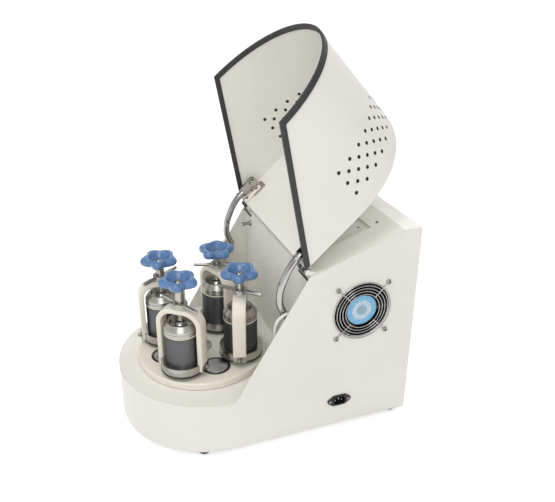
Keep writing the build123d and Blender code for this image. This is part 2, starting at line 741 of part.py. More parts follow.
def track_outline(points, radius):
    """Outline of a track swept by a disc that rolls along straight steps between points."""
    outline = Sketch()
    for (y0, z0), (y1, z1) in zip(points, points[1:]):
        length = math.hypot(y1 - y0, z1 - z0)
        heading = math.degrees(math.atan2(z1 - z0, y1 - y0))
        middle = Pos((y0 + y1) / 2, (z0 + z1) / 2) * Rot(0, 0, heading)
        outline += middle * SlotCenterToCenter(length, 2 * radius)
    return outline


def stay_guides():
    """Guide blocks on the cheeks, each with the curved slot that a stay's lower pin follows."""
    points = [stay_point(OPEN_ANGLE * i / GUIDE_STEPS) for i in range(GUIDE_STEPS + 1)]
    plane = Plane(origin=(0, 0, 0), x_dir=(0, 1, 0), z_dir=(1, 0, 0))
    slot = track_outline(points, STAY_PIN + GUIDE_PLAY)
    pocket = track_outline(points, GUIDE_HEAD + GUIDE_PLAY)
    outline = track_outline(points, GUIDE_HEAD + GUIDE_PLAY + GUIDE_MARGIN)
    block = plane * Pos(0, 0, GUIDE_FACE) * extrude(outline, amount=GUIDE_BACK - GUIDE_FACE)
    block -= plane * Pos(0, 0, GUIDE_FACE - 1) * extrude(slot, amount=GUIDE_BACK - GUIDE_FACE + 2)
    block -= plane * Pos(0, 0, GUIDE_FACE + GUIDE_PLATE) * extrude(pocket, amount=GUIDE_BACK)
    aside = GUIDE_HEAD + GUIDE_PLAY + GUIDE_MARGIN / 2
    for y, z in (points[0], points[-1]):
        block += along_x(GUIDE_PAD, GUIDE_BACK, INNER_HALF, y + aside, z)
    return Part() + [block, mirror(block, Plane.YZ)]


# Gears and turntable


def involute_angle(base, radius):
    """Polar angle turned by an involute of a base circle, out to a radius."""
    roll = math.acos(min(base / radius, 1))
    return math.tan(roll) - roll


def polar(radius, angle):
    """Point at a radius and an angle in radians."""
    return (radius * math.cos(angle), radius * math.sin(angle))


def gear_face(teeth):
    """Outline of a spur gear with involute flanks and a tooth centred on +X."""
    pitch = MODULE * teeth / 2
    base = pitch * math.cos(math.radians(PRESSURE_ANGLE))
    tip = pitch + MODULE
    root = pitch - 1.25 * MODULE
    start = max(base, root)
    half = (math.pi * MODULE / 2 - THINNING) / (2 * pitch) + involute_angle(base, pitch)
    radii = [start + (tip - start) * i / 3 for i in range(4)]
    angles = [half - involute_angle(base, radius) for radius in radii]
    edges = []
    step = 2 * math.pi / teeth
    for index in range(teeth):
        centre = index * step
        rise = [polar(radius, centre - angle) for radius, angle in zip(radii, angles)]
        fall = [polar(radius, centre + angle) for radius, angle in zip(radii, angles)][::-1]
        foot_in = polar(root, centre - angles[0])
        foot_out = polar(root, centre + angles[0])
        if base > root:
            edges.append(Line(foot_in, rise[0]))
        edges.append(Spline(*rise))
        edges.append(ThreePointArc(rise[-1], polar(tip, centre), fall[0]))
        edges.append(Spline(*fall))
        if base > root:
            edges.append(Line(fall[-1], foot_out))
        next_in = polar(root, centre + step - angles[0])
        edges.append(ThreePointArc(foot_out, polar(root, centre + step / 2), next_in))
    return make_face(Wire(edges))


def spur_gear(teeth, turn):
    """Spur gear at the gear train's height, turned by an angle in degrees."""
    gear = extrude(gear_face(teeth), amount=GEAR_FACE, dir=(0, 0, 1))
    return Pos(0, 0, GEAR_BOTTOM) * Rot(0, 0, turn) * gear


def sun_gear():
    """Fixed sun gear on the bearing housing's spigot."""
    seat = DECK_TOP + HOUSING_LIP
    gear = spur_gear(SUN_TEETH, FIRST_ANGLE) + disc(HOUSING_SPIGOT, seat, GEAR_BOTTOM)
    gear -= disc(SHAFT_RADIUS + 1, seat - 1, TABLE_TOP)
    return TABLE * gear


def idler_place(index):
    """Centre of an idler on the turntable."""
    turn = FIRST_ANGLE + IDLER_OFFSET + 90 * index
    return TABLE * Rot(0, 0, turn) * Pos(IDLER_RADIUS, 0, 0)


def idler_gear(index):
    """Idler between the sun and the planets beside it, a tooth facing the sun."""
    gear = spur_gear(IDLER_TEETH, 180)
    gear -= disc(PIN_RADIUS + RUNNING, GEAR_BOTTOM - 1, GEAR_BOTTOM + GEAR_FACE + 1)
    return idler_place(index) * gear


def idler_covers():
    """Turned cover discs on the turntable, each with the pin that carries an idler."""
    cover = disc(COVER_RING, TABLE_TOP, TABLE_TOP + COVER_RING_HEIGHT)
    cover += disc(COVER_DISC, TABLE_TOP, TABLE_TOP + COVER_DISC_HEIGHT)
    cover += disc(PIN_RADIUS, TABLE_BOTTOM + 1, TABLE_TOP)
    cover += disc(PIN_FLANGE, TABLE_BOTTOM + 0.5, GEAR_BOTTOM - STATION_GAP)
    return Part() + [idler_place(index) * cover for index in range(4)]


def turntable_disc():
    """Turntable: a plate with a turned-down rim that covers the gears."""
    table = disc(TABLE_RADIUS, TABLE_BOTTOM, TABLE_TOP)
    table = fillet(table.edges().group_by(Axis.Z)[-1], TABLE_EDGE)
    table -= disc(TABLE_RADIUS - TABLE_SKIRT, TABLE_BOTTOM - 1, TABLE_TOP - TABLE_PLATE)
    table -= disc(SHAFT_NECK, TABLE_BOTTOM, TABLE_TOP + 1)
    for index in range(4):
        hole = disc(PIN_RADIUS + RUNNING, TABLE_BOTTOM, TABLE_TOP + 1)
        table -= Rot(0, 0, FIRST_ANGLE + IDLER_OFFSET + 90 * index) * Pos(IDLER_RADIUS, 0, 0) * hole
        hole = disc(PLANET_SHAFT + RUNNING, TABLE_BOTTOM, TABLE_TOP + 1)
        table -= Rot(0, 0, FIRST_ANGLE + 90 * index) * Pos(STATION_RADIUS, 0, 0) * hole
    return TABLE * table


def pulley(radius, bore):
    """Flanged belt pulley, as a solid of revolution."""
    top = PULLEY_BOTTOM + PULLEY_WIDTH
    lip = radius + PULLEY_LIP
    outline = [
        (bore, PULLEY_BOTTOM),
        (lip, PULLEY_BOTTOM),
        (lip, PULLEY_BOTTOM + PULLEY_FLANGE),
        (radius, PULLEY_BOTTOM + PULLEY_FLANGE),
        (radius, top - PULLEY_FLANGE),
        (lip, top - PULLEY_FLANGE),
        (lip, top),
        (bore, top),
    ]
    return turned(outline)


def main_shaft():
    """Vertical shaft with the belt pulley below and the hub cap on the turntable."""
    plate_bottom = TABLE_TOP - TABLE_PLATE
    shaft = disc(SHAFT_RADIUS, PULLEY_BOTTOM, plate_bottom)
    shaft += disc(SHAFT_NECK, plate_bottom, TABLE_TOP)
    cap = disc(CAP_RADIUS, TABLE_TOP, TABLE_TOP + CAP_HEIGHT)
    shaft += chamfer(cap.edges().group_by(Axis.Z)[-1], 1)
    return TABLE * (shaft + pulley(TABLE_PULLEY, 0))


def bearing_housing():
    """Flanged housing under the deck with a bearing seat at each end."""
    under = DECK_TOP - DECK_SHEET
    housing = disc(HOUSING_BARREL, HOUSING_BOTTOM, under)
    housing += disc(HOUSING_FLANGE, under - HOUSING_FLANGE_T, under)
    housing += disc(HOUSING_SPIGOT, under, DECK_TOP + HOUSING_LIP)
    hollow = disc(BEARING_RADIUS, HOUSING_BOTTOM + BEARING_LENGTH, under - BEARING_LENGTH)
    housing -= hollow
    housing -= disc(SHAFT_RADIUS + RUNNING, HOUSING_BOTTOM - 1, TABLE_TOP)
    return TABLE * housing


def belt_loop(extra):
    """Plan outline of a loop round both pulleys, a distance outside them."""
    near = Pos(0, TABLE_Y) * CenterArc((0, 0), TABLE_PULLEY + extra, 0, 360)
    far = Pos(0, MOTOR_Y) * CenterArc((0, 0), MOTOR_PULLEY + extra, 0, 360)
    return make_hull([near, far])


def drive_belt():
    """Flat belt between the two pulleys."""
    loop = belt_loop(BELT_GAP + BELT_THICKNESS) - belt_loop(BELT_GAP)
    width = PULLEY_WIDTH - 2 * (PULLEY_FLANGE + BELT_CLEAR)
    belt = extrude(loop, amount=width, dir=(0, 0, 1))
    return Pos(0, 0, PULLEY_BOTTOM + PULLEY_FLANGE + BELT_CLEAR) * belt


def drive_motor():
    """Finned motor standing on a plate with four posts."""
    plate_top = MOTOR_PLATE_Z + MOTOR_PLATE
    side = 2 * MOTOR_PLATE_HALF
    motor = Pos(0, 0, MOTOR_PLATE_Z) * extrude(RectangleRounded(side, side, 8), amount=MOTOR_PLATE)
    motor += disc(MOTOR_RADIUS, plate_top, plate_top + MOTOR_LENGTH)
    fin = Box(FIN_HEIGHT + 2, FIN_THICKNESS, MOTOR_LENGTH * 0.7)
    middle = plate_top + MOTOR_LENGTH / 2
    for index in range(MOTOR_FINS):
        turn = Rot(0, 0, index * 360 / MOTOR_FINS)
        motor += turn * Pos(MOTOR_RADIUS + FIN_HEIGHT / 2, 0, middle) * fin
    inset = MOTOR_PLATE_HALF - 1.5 * MOTOR_POST
    pan_top = FOOT_HEIGHT + PAN_SHEET
    for place in GridLocations(2 * inset, 2 * inset, 2, 2):
        motor += place * disc(MOTOR_POST, pan_top, MOTOR_PLATE_Z)
    motor -= disc(MOTOR_SHAFT + RUNNING, MOTOR_PLATE_Z - 1, plate_top + 15)
    return Pos(0, MOTOR_Y, 0) * motor


def motor_pulley():
    """Motor pulley on its shaft end."""
    wheel = pulley(MOTOR_PULLEY, 0) + disc(MOTOR_SHAFT, PULLEY_BOTTOM, MOTOR_PLATE_Z + MOTOR_PLATE + 14)
    return Pos(0, MOTOR_Y, 0) * wheel


# Grinding stations


def station_place(angle):
    """Centre of a station on the turntable."""
    return TABLE * Rot(0, 0, angle) * Pos(STATION_RADIUS, 0, 0) * Rot(0, 0, -angle)


def holder(angle, yoke_turn):
    """Jar holder with its shaft and planet gear: black base, steel ring with two flats."""
    body = disc(HUB_RADIUS, TABLE_TOP + STATION_GAP, BASE_BOTTOM)
    body += disc(BASE_RADIUS, BASE_BOTTOM, RING_BOTTOM)
    cup = disc(RING_RADIUS, RING_BOTTOM, RING_TOP)
    for side in (-1, 1):
        cup -= Pos(side * (RING_FLAT + 10), 0, (RING_BOTTOM + RING_TOP) / 2) * Box(20, YOKE_WIDTH, 20)
    cup -= disc(JAR_RADIUS + JAR_PLAY, JAR_FLOOR, RING_TOP + 1)
    body += Rot(0, 0, yoke_turn) * cup
    body += disc(PLANET_SHAFT, GEAR_BOTTOM, TABLE_TOP + 1)
    body += spur_gear(PLANET_TEETH, angle + 180)
    return body


def jar():
    """Hollow grinding jar standing in the holder."""
    body = disc(JAR_RADIUS, JAR_FLOOR, JAR_TOP)
    body = chamfer(body.edges().group_by(Axis.Z)[0], 1)
    cavity = disc(JAR_RADIUS - JAR_WALL, JAR_FLOOR + JAR_BOTTOM, JAR_TOP + 1)
    cavity = fillet(cavity.edges().group_by(Axis.Z)[0], 4)
    return body - cavity


def lid():
    """Bevelled lid with a dished centre, and the gasket that it presses on the jar."""
    bore = JAR_RADIUS - JAR_WALL
    flange_bottom = JAR_TOP + GASKET
    outline = [
        (0, JAR_TOP - SPIGOT_DEPTH),
        (bore - JAR_PLAY, JAR_TOP - SPIGOT_DEPTH),
        (bore - JAR_PLAY, flange_bottom),
        (JAR_RADIUS, flange_bottom),
        (JAR_RADIUS, flange_bottom + LID_FLANGE),
        (LID_RIM, LID_TOP),
        (LID_RIM - LID_LIP, LID_TOP),
        (DISH_RADIUS, DISH_FLOOR),
        (0, DISH_FLOOR),
    ]
    gasket = ring(JAR_RADIUS + GASKET_PROUD, bore - JAR_PLAY, JAR_TOP, flange_bottom)
    return Part() + [turned(outline), gasket]


def yoke():
    """Inverted U clamp bar, 26 wide, standing on the holder's base against its flats."""
    outer = RING_FLAT + YOKE_BAR
    height = YOKE_TOP - RING_BOTTOM
    middle = RING_BOTTOM + height / 2
    frame = Pos(0, middle) * Rectangle(2 * outer, height)
    frame = fillet(frame.vertices().group_by(Axis.Y)[-1], YOKE_ROUND)
    inside = Pos(0, middle - YOKE_BAR) * Rectangle(2 * RING_FLAT, height)
    inside = fillet(inside.vertices().group_by(Axis.Y)[-1], YOKE_ROUND - YOKE_BAR)
    bar = extrude(Plane.XZ * (frame - inside), amount=YOKE_WIDTH / 2, both=True)
    bar += disc(BOSS_RADIUS, YOKE_TOP - YOKE_BAR / 2, YOKE_TOP + BOSS_HEIGHT)
    bar -= disc(SCREW_RADIUS + RUNNING, LID_TOP, YOKE_TOP + BOSS_HEIGHT + 1)
    return bar


def clamp_screw(nut_top):
    """Clamping screw with a flared foot in the lid's dish and a domed nut on top."""
    foot = DISH_FLOOR + FOOT_GAP
    nut_bottom = nut_top - NUT_HEIGHT
    outline = [
        (0, foot),
        (FOOT_PAD, foot),
        (FOOT_PAD, foot + FOOT_PAD_HEIGHT),
        (SCREW_NECK, foot + FOOT_PAD_HEIGHT + 3),
        (SCREW_NECK, foot + FOOT_PAD_HEIGHT + FOOT_CONE),
        (SCREW_RADIUS, foot + FOOT_PAD_HEIGHT + FOOT_CONE + 1),
        (SCREW_RADIUS, nut_bottom),
        (NUT_RADIUS, nut_bottom),
        (NUT_RADIUS, nut_bottom + NUT_HEIGHT / 2),
        (NUT_RADIUS * 0.7, nut_top - 1.5),
        (0, nut_top),
    ]
    return turned(outline)


def lock_nut(bar_turn):
    """Round lock nut on the yoke's boss with a tommy bar through it."""
    bottom = YOKE_TOP + BOSS_HEIGHT + STATION_GAP
    nut = disc(LOCK_RADIUS, bottom, LOCK_TOP)
    bar = Pos(0, 0, bottom + LOCK_HEIGHT / 2) * Rot(0, 90, 0) * Cylinder(BAR_RADIUS, 2 * BAR_REACH)
    nut += Rot(0, 0, bar_turn) * bar
    nut -= disc(SCREW_RADIUS + RUNNING, bottom - 1, LOCK_TOP + 1)
    return nut


def knob(nut_top):
    """Five-lobed dished knob with the sleeve that spaces it from the lock nut."""
    seat = nut_top - NUT_HEIGHT
    top = seat + KNOB_DISH
    outline = Circle(KNOB_CORE)
    for index in range(KNOB_LOBES):
        turn = Rot(0, 0, 90 + index * 360 / KNOB_LOBES)
        outline += turn * Pos(KNOB_REACH - LOBE_RADIUS, 0) * Circle(LOBE_RADIUS)
    head = Pos(0, 0, top - KNOB_THICKNESS) * extrude(outline, amount=KNOB_THICKNESS)
    dish = [(0, seat), (NUT_RADIUS + 2, seat), (KNOB_DISH_RADIUS, top + 0.5), (0, top + 0.5)]
    head -= turned(dish)
    sleeve_bottom = LOCK_TOP + STATION_GAP
    head += disc(SLEEVE_RADIUS, sleeve_bottom, seat)
    head -= disc(SCREW_RADIUS + RUNNING, sleeve_bottom - 1, seat + 1)
    return head


def station_nodes(number, angle, yoke_turn, bar_turn, nut_top):
    """All sub-parts of one grinding station."""
    place = station_place(angle)
    return {
        f"jar_holder_{number}": place * holder(angle, yoke_turn),
        f"grinding_jar_{number}": place * jar(),
        f"jar_lid_{number}": place * lid(),
        f"clamp_yoke_{number}": place * Rot(0, 0, yoke_turn) * yoke(),
        f"clamp_screw_{number}": place * clamp_screw(nut_top),
        f"lock_nut_{number}": place * lock_nut(bar_turn),
        f"clamp_knob_{number}": place * knob(nut_top),
    }


def footprint_shift():
    """Move that puts the origin in the middle of the footprint."""
    left = -BODY_HALF - TRIM_SIDE
    return Pos(-(left + GUARD_TOP) / 2, -(BACK_Y - BODY_HALF) / 2, 0)


def build_nodes():
    """Every sub-part by name, in the casing's own coordinates."""
    nodes = {
        "casing_wrap": casing_wrap(),
        "chamber_deck": chamber_deck(),
        "upper_cover": upper_cover(),
        "rear_panel": rear_panel(),
        "base_pan": base_pan(),
        "rubber_feet": rubber_feet(),
        "control_panel": control_panel(),
        "start_key": panel_key(0),
        "stop_key": panel_key(1),
        "fan_frame": fan_frame(),
        "fan_rotor": fan_rotor(),
        "fan_guard": fan_guard(),
        "mains_inlet": mains_inlet(),
        "hood_sensor_peg": hood_sensor_peg(),
        "hood_shell": hood_shell(),
        "hood_trim": hood_trim(),
        "hinge_blocks": hinge_blocks(),
        "hood_brackets": hood_brackets(),
        "hood_stays": hood_stays(),
        "stay_guides": stay_guides(),
        "sun_gear": sun_gear(),
        "idler_covers": idler_covers(),
        "turntable_disc": turntable_disc(),
        "main_shaft": main_shaft(),
        "bearing_housing": bearing_housing(),
        "drive_belt": drive_belt(),
        "drive_motor": drive_motor(),
        "motor_pulley": motor_pulley(),
    }
    for index in range(4):
        nodes[f"idler_gear_{index + 1}"] = idler_gear(index)
    for station in STATIONS:
        nodes.update(station_nodes(*station))
    return nodes


SHIFT = footprint_shift()
os.makedirs("parts", exist_ok=True)
NODES = {name: SHIFT * solid for name, solid in build_nodes().items()}
for name, solid in NODES.items():
    export_step(solid, f"parts/{name}.step")
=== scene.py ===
import json
import math

import bpy
from mathutils import Matrix, Vector


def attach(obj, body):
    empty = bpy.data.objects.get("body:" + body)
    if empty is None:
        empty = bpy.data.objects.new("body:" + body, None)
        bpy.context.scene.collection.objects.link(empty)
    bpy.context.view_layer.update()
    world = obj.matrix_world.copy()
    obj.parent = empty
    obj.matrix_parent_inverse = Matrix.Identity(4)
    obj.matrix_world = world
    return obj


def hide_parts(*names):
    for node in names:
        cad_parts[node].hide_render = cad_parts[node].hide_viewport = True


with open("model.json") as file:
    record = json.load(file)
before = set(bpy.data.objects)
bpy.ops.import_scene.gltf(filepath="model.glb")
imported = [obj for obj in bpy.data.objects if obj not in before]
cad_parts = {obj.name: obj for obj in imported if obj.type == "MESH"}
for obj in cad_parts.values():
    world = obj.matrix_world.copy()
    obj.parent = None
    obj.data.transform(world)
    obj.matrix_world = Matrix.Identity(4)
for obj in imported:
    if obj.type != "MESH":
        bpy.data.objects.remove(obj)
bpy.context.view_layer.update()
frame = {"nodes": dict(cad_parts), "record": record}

# Lengths are in millimetres in the casing's own frame, where X is across, Y goes to the rear and Z is up.
# at() brings a place into the shared frame, in metres.
SHIFT_X, SHIFT_Y = -0.875, -92.5

# Casing: half width, rear wall, underside, and both ends of the sloping top as (y, z)
BODY_HALF = 184.7
BACK_Y = 369.7
FOOT_HEIGHT = 12.0
SLOPE_START = (143.3, 358.8)
SLOPE_END = (334.0, 424.3)
SLOPE_ANGLE = math.atan2(SLOPE_END[1] - SLOPE_START[1], SLOPE_END[0] - SLOPE_START[0])

# Middles of the fan and of the mains inlet in the right wall
FAN = (183.2, 254.4, 269.7)
INLET = (BODY_HALF, 215.9, 70.15)

# Hood: hinge line as (y, z), and how far it stands open
HINGE = (141.9, 368.55)
OPEN_ANGLE = math.radians(138.2)

# Turntable
TABLE_Y = -13.5
TABLE_TOP = 136.0
IDLER_RADIUS = 78.75
STATION_RADIUS = 86.721
FIRST_ANGLE = -40.0

# Number, place round the table, yoke's turn, tommy bar's turn and knob's turn in degrees, top of the domed nut
STATIONS = (
    (1, -40.0, 50.0, 27.0, -21.0, 334.4),
    (2, 50.0, -21.0, 45.0, -21.0, 324.5),
    (3, 140.0, 20.0, 72.0, 18.0, 318.5),
    (4, 230.0, 85.0, 125.0, -18.0, 322.8),
)


def at(x, y, z):
    """Place in the shared frame, in metres."""
    return Vector((x + SHIFT_X, y + SHIFT_Y, z)) / 1000


def stand_at(x, y, z):
    """Matrix that moves a piece to a place."""
    return Matrix.Translation(at(x, y, z))


def round_table(radius, degrees):
    """Matrix that moves a piece onto a circle about the turntable's axis."""
    angle = math.radians(degrees)
    return stand_at(radius * math.cos(angle), TABLE_Y + radius * math.sin(angle), 0)


# Camera at the photograph's viewing angle, solved from the casing's edges and the fan's circle
AZIMUTH, ELEVATION, ROLL = math.radians(68.87), math.radians(25.92), math.radians(0.46)
SENSOR_WIDTH = 36.0
FOCAL_SHARE = 680.52 / 555
AIM = (0, 152.72, 327.68)
CAMERA_DISTANCE = 1.38795
back = Vector((math.sin(AZIMUTH) * math.cos(ELEVATION), -math.cos(AZIMUTH) * math.cos(ELEVATION), math.sin(ELEVATION)))
right = (-back).cross(Vector((0, 0, 1))).normalized()
up = right.cross(-back)
side = right * math.cos(ROLL) + up * math.sin(ROLL)
top = up * math.cos(ROLL) - right * math.sin(ROLL)
camera = bpy.data.objects.new("camera", bpy.data.cameras.new("camera"))
bpy.context.scene.collection.objects.link(camera)
camera.data.sensor_width = SENSOR_WIDTH
camera.data.lens = SENSOR_WIDTH * FOCAL_SHARE
camera.data.clip_start, camera.data.clip_end = 0.05, 50
spot = at(*AIM) + back * CAMERA_DISTANCE
camera.matrix_world = Matrix.Translation(spot) @ Matrix((side, top, back)).transposed().to_4x4()
bpy.context.scene.camera = camera


# Node helpers


class Nodes:
    """Small builder for a shader tree."""

    def __init__(self, tree):
        self.tree = tree

    def add(self, kind, inputs=None, **settings):
        node = self.tree.nodes.new("ShaderNode" + kind)
        for key, value in settings.items():
            setattr(node, key, value)
        for key, value in (inputs or {}).items():
            if isinstance(value, bpy.types.NodeSocket):
                self.tree.links.new(value, node.inputs[key])
            else:
                node.inputs[key].default_value = value
        return node

    def noise(self, vector, scale, detail=3.0, rough=0.55):
        given = {"Vector": vector, "Scale": scale, "Detail": detail, "Roughness": rough}
        return self.add("TexNoise", given).outputs["Fac"]

    def span(self, value, low, high, start=0.3, end=0.7):
        given = {"Value": value, "From Min": start, "From Max": end, "To Min": low, "To Max": high}
        return self.add("MapRange", given).outputs["Result"]

    def math(self, operation, a, b=0.0):
        return self.add("Math", {0: a, 1: b}, operation=operation).outputs[0]

    def mix(self, factor, a, b):
        node = self.add("Mix", data_type="RGBA")
        for index, value in ((0, factor), (6, a), (7, b)):
            if isinstance(value, bpy.types.NodeSocket):
                self.tree.links.new(value, node.inputs[index])
            else:
                node.inputs[index].default_value = value
        return node.outputs[2]

    def bump(self, height, distance, strength=1.0, normal=None):
        given = {"Height": height, "Distance": distance, "Strength": strength}
        if normal is not None:
            given["Normal"] = normal
        return self.add("Bump", given).outputs["Normal"]


def rgb(red, green, blue):
    """Linear colour from display values 0 to 255."""
    line = []
    for value in (red, green, blue):
        value /= 255
        line.append(value / 12.92 if value <= 0.04045 else ((value + 0.055) / 1.055) ** 2.4)
    return (*line, 1.0)


def shade(color, factor):
    """The colour made lighter or darker."""
    return (color[0] * factor, color[1] * factor, color[2] * factor, 1.0)


def start_material(name):
    """New material, its node builder, its shader and the place on the piece."""
    material = bpy.data.materials.new(name)
    material.use_nodes = True
    nodes = Nodes(material.node_tree)
    bsdf = material.node_tree.nodes["Principled BSDF"]
    where = nodes.add("TexCoord").outputs["Object"]
    return material, nodes, bsdf, where


def set_up(bsdf, nodes, **given):
    """Give the shader's inputs, named with underscores, a value or a link."""
    for key, value in given.items():
        socket = bsdf.inputs[key.replace("_", " ")]
        if isinstance(value, bpy.types.NodeSocket):
            nodes.tree.links.new(value, socket)
        else:
            socket.default_value = value


def paint(name, color, rough=0.42, peel=0.00006, vary=0.03, edge=0.0):
    """Powder coat or enamel: faint orange peel, patchy gloss and a breath of dust."""
    material, nodes, bsdf, where = start_material(name)
    cloud = nodes.noise(where, 7.0, 4.0)
    fleck = nodes.noise(where, 900.0, 2.0)
    tone = nodes.mix(nodes.span(cloud, 0.0, 1.0), shade(color, 1 - vary), shade(color, 1 + vary * 0.6))
    tone = nodes.mix(nodes.span(fleck, 0.0, 0.12, 0.55, 0.8), tone, shade(color, 0.72))
    gloss = nodes.span(nodes.noise(where, 38.0, 4.0), rough - 0.05, rough + 0.07)
    base = nodes.add("Bevel", {"Radius": edge}, samples=4).outputs["Normal"] if edge else None
    normal = nodes.bump(nodes.noise(where, 520.0, 2.0), peel * 3, 0.35, base)
    normal = nodes.bump(nodes.noise(where, 1700.0, 1.0), peel, 0.3, normal)
    set_up(bsdf, nodes, Base_Color=tone, Roughness=gloss, Normal=normal, Specular_IOR_Level=0.45)
    return material


def moulded(name, color, rough=0.45, grain=0.00004, gloss=0.0, vary=0.08):
    """Moulded plastic or rubber with a fine grain."""
    material, nodes, bsdf, where = start_material(name)
    cloud = nodes.noise(where, 25.0, 4.0)
    tone = nodes.mix(nodes.span(cloud, 0.0, 1.0), shade(color, 1 - vary), shade(color, 1 + vary))
    spread = nodes.span(nodes.noise(where, 120.0, 4.0), rough - 0.06, rough + 0.08)
    normal = nodes.bump(nodes.noise(where, 1500.0, 2.0), grain, 0.5)
    set_up(bsdf, nodes, Base_Color=tone, Roughness=spread, Normal=normal)
    if gloss:
        set_up(bsdf, nodes, Coat_Weight=gloss, Coat_Roughness=0.08)
    return material


def metal(name, color, rough=0.25, lines=None, depth=0.00002, streak=900.0, smudge=0.08, aniso=0.0, rim=0.4):
    """Metal with fine tool marks: lines is a stretch per axis, or the word turned for concentric marks."""
    material, nodes, bsdf, where = start_material(name)
    if lines == "turned":
        split = nodes.add("SeparateXYZ", {0: where})
        flat = nodes.add("CombineXYZ", {0: split.outputs[0], 1: split.outputs[1]}).outputs[0]
        radius = nodes.add("VectorMath", {0: flat}, operation="LENGTH").outputs["Value"]
        track = nodes.add("CombineXYZ", {0: radius, 2: split.outputs[2]}).outputs[0]
    elif lines:
        track = nodes.add("VectorMath", {0: where, 1: lines}, operation="MULTIPLY").outputs[0]
    else:
        track = where
    mark = nodes.noise(track, streak, 3.0, 0.7)
    patch = nodes.noise(where, 45.0, 4.0)
    tone = nodes.mix(nodes.span(mark, 0.0, 1.0), shade(color, 0.86), shade(color, 1.06))
    tone = nodes.mix(nodes.span(patch, 0.0, 0.3, 0.5, 0.8), tone, shade(color, 0.86))
    gloss = nodes.math("ADD", nodes.span(mark, rough * 0.8, rough * 1.15), nodes.span(patch, 0.0, smudge))
    normal = nodes.bump(mark, depth, 0.6)
    set_up(bsdf, nodes, Base_Color=tone, Roughness=gloss, Normal=normal, Metallic=1.0)
    set_up(bsdf, nodes, Specular_Tint=(rim, rim, rim, 1.0))
    if aniso:
        set_up(bsdf, nodes, Anisotropic=aniso)
        tangent = nodes.add("Tangent", direction_type="RADIAL", axis="Z").outputs[0]
        set_up(bsdf, nodes, Tangent=tangent)
    return material


CASING = rgb(229, 227, 221)
CREAM = rgb(226, 222, 209)
STEEL = rgb(180, 177, 171)
MATS = {
    "casing_paint": paint("casing_coat", CASING, 0.40, edge=0.0012),
    "frame_paint": paint("cream_enamel", CREAM, 0.34, edge=0.0010),
    "edge_rubber": moulded("edging_rubber", rgb(48, 47, 49), 0.55, 0.00008),
    "foot_rubber": moulded("foot_rubber_skin", rgb(34, 34, 35), 0.6, 0.0001),
    "black_plastic": moulded("black_moulding", rgb(24, 24, 26), 0.42),
    "hinge_black": moulded("hinge_moulding", rgb(38, 38, 40), 0.4),
    "chrome": metal("bright_chrome", rgb(176, 175, 173), 0.09, depth=0.000004, smudge=0.05),
    "satin_steel": metal("satin_steel_turned", STEEL, 0.24, (1.0, 1.0, 40.0), smudge=0.06),
    "gear_steel": metal("gear_steel_cut", rgb(150, 150, 152), 0.32, (40.0, 40.0, 1.0)),
    "jar_grey": metal("jar_satin", rgb(104, 105, 107), 0.48, "turned", depth=0.000006, smudge=0.04),
    "knob_blue": moulded("knob_gloss", rgb(80, 119, 168), 0.26, 0.00001, 0.5, 0.02),
    "cast_grey": paint("casting_paint", rgb(120, 123, 126), 0.5, 0.0002),
    "pulley_metal": metal("pulley_alloy", rgb(205, 206, 208), 0.3, "turned"),
    "belt_rubber": moulded("belt_rubber_skin", rgb(40, 40, 40), 0.65, 0.0001),
    "panel_film": moulded("panel_film_skin", rgb(214, 213, 208), 0.35, 0.00001, 0.2, 0.02),
    "key_green": moulded("green_key", rgb(50, 150, 82), 0.28, 0.00001, 0.4),
    "key_red": moulded("red_key", rgb(190, 44, 40), 0.28, 0.00001, 0.4),
    "zinc_sheet": metal("zinc_plate", rgb(180, 184, 188), 0.35, streak=120.0, smudge=0.15),
}
for item in frame["record"]["subparts"]:
    node = frame["nodes"][item["node"]]
    for holder in node.material_slots:
        holder.material = MATS[item["material_slot"]]


def zoned(name, low, high, zone, rough=(0.45, 0.17)):
    """Two finishes on one node, parted by height in metres."""
    material, nodes, bsdf, where = start_material(name)
    height = nodes.add("SeparateXYZ", {0: where}).outputs[2]
    upper = nodes.math("GREATER_THAN", height, zone)
    stretched = nodes.add("VectorMath", {0: where, 1: (1.0, 1.0, 40.0)}, operation="MULTIPLY").outputs[0]
    mark = nodes.noise(stretched, 900.0, 3.0, 0.7)
    ground = nodes.mix(nodes.span(mark, 0.0, 1.0), shade(high, 0.88), shade(high, 1.05))
    tone = nodes.mix(upper, low, ground)
    gloss = nodes.add("MapRange", {"Value": upper, "To Min": rough[0], "To Max": rough[1]}).outputs[0]
    gloss = nodes.math("ADD", gloss, nodes.span(nodes.noise(where, 45.0, 4.0), 0.0, 0.06))
    set_up(bsdf, nodes, Base_Color=tone, Roughness=gloss, Normal=nodes.bump(mark, 0.00001, 0.5))
    set_up(bsdf, nodes, Metallic=upper)
    return material


# Height in metres where a holder's black lower part ends and its steel upper part begins
HOLDER_STEP = 0.1465
holder_two = zoned("holder_black_and_steel", rgb(30, 30, 31), STEEL, HOLDER_STEP)
for number in range(1, 5):
    for holder in frame["nodes"][f"jar_holder_{number}"].material_slots:
        holder.material = holder_two
OTHER_LOOKS = {
    "hood_sensor_peg": "satin_steel",
    "hood_brackets": "satin_steel",
    "hinge_blocks": "casing_paint",
}
for name, look in OTHER_LOOKS.items():
    for holder in frame["nodes"][name].material_slots:
        holder.material = MATS[look]


# Mesh helpers


def piece(name, shape, material, body, place=None, sharp=35.0, replaces=()):
    """Object from (vertices in mm, faces), placed by a matrix, riding on a body."""
    points, faces = shape
    mesh = bpy.data.meshes.new(name)
    mesh.from_pydata([Vector(p) / 1000 for p in points], [], faces)
    mesh.update()
    mesh.shade_smooth()
    mesh.set_sharp_from_angle(angle=math.radians(sharp))
    mesh.materials.append(material)
    thing = bpy.data.objects.new(name, mesh)
    bpy.context.scene.collection.objects.link(thing)
    thing.matrix_world = place or Matrix.Identity(4)
    bpy.context.view_layer.update()
    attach(thing, body)
    if replaces:
        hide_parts(*replaces)
    return thing


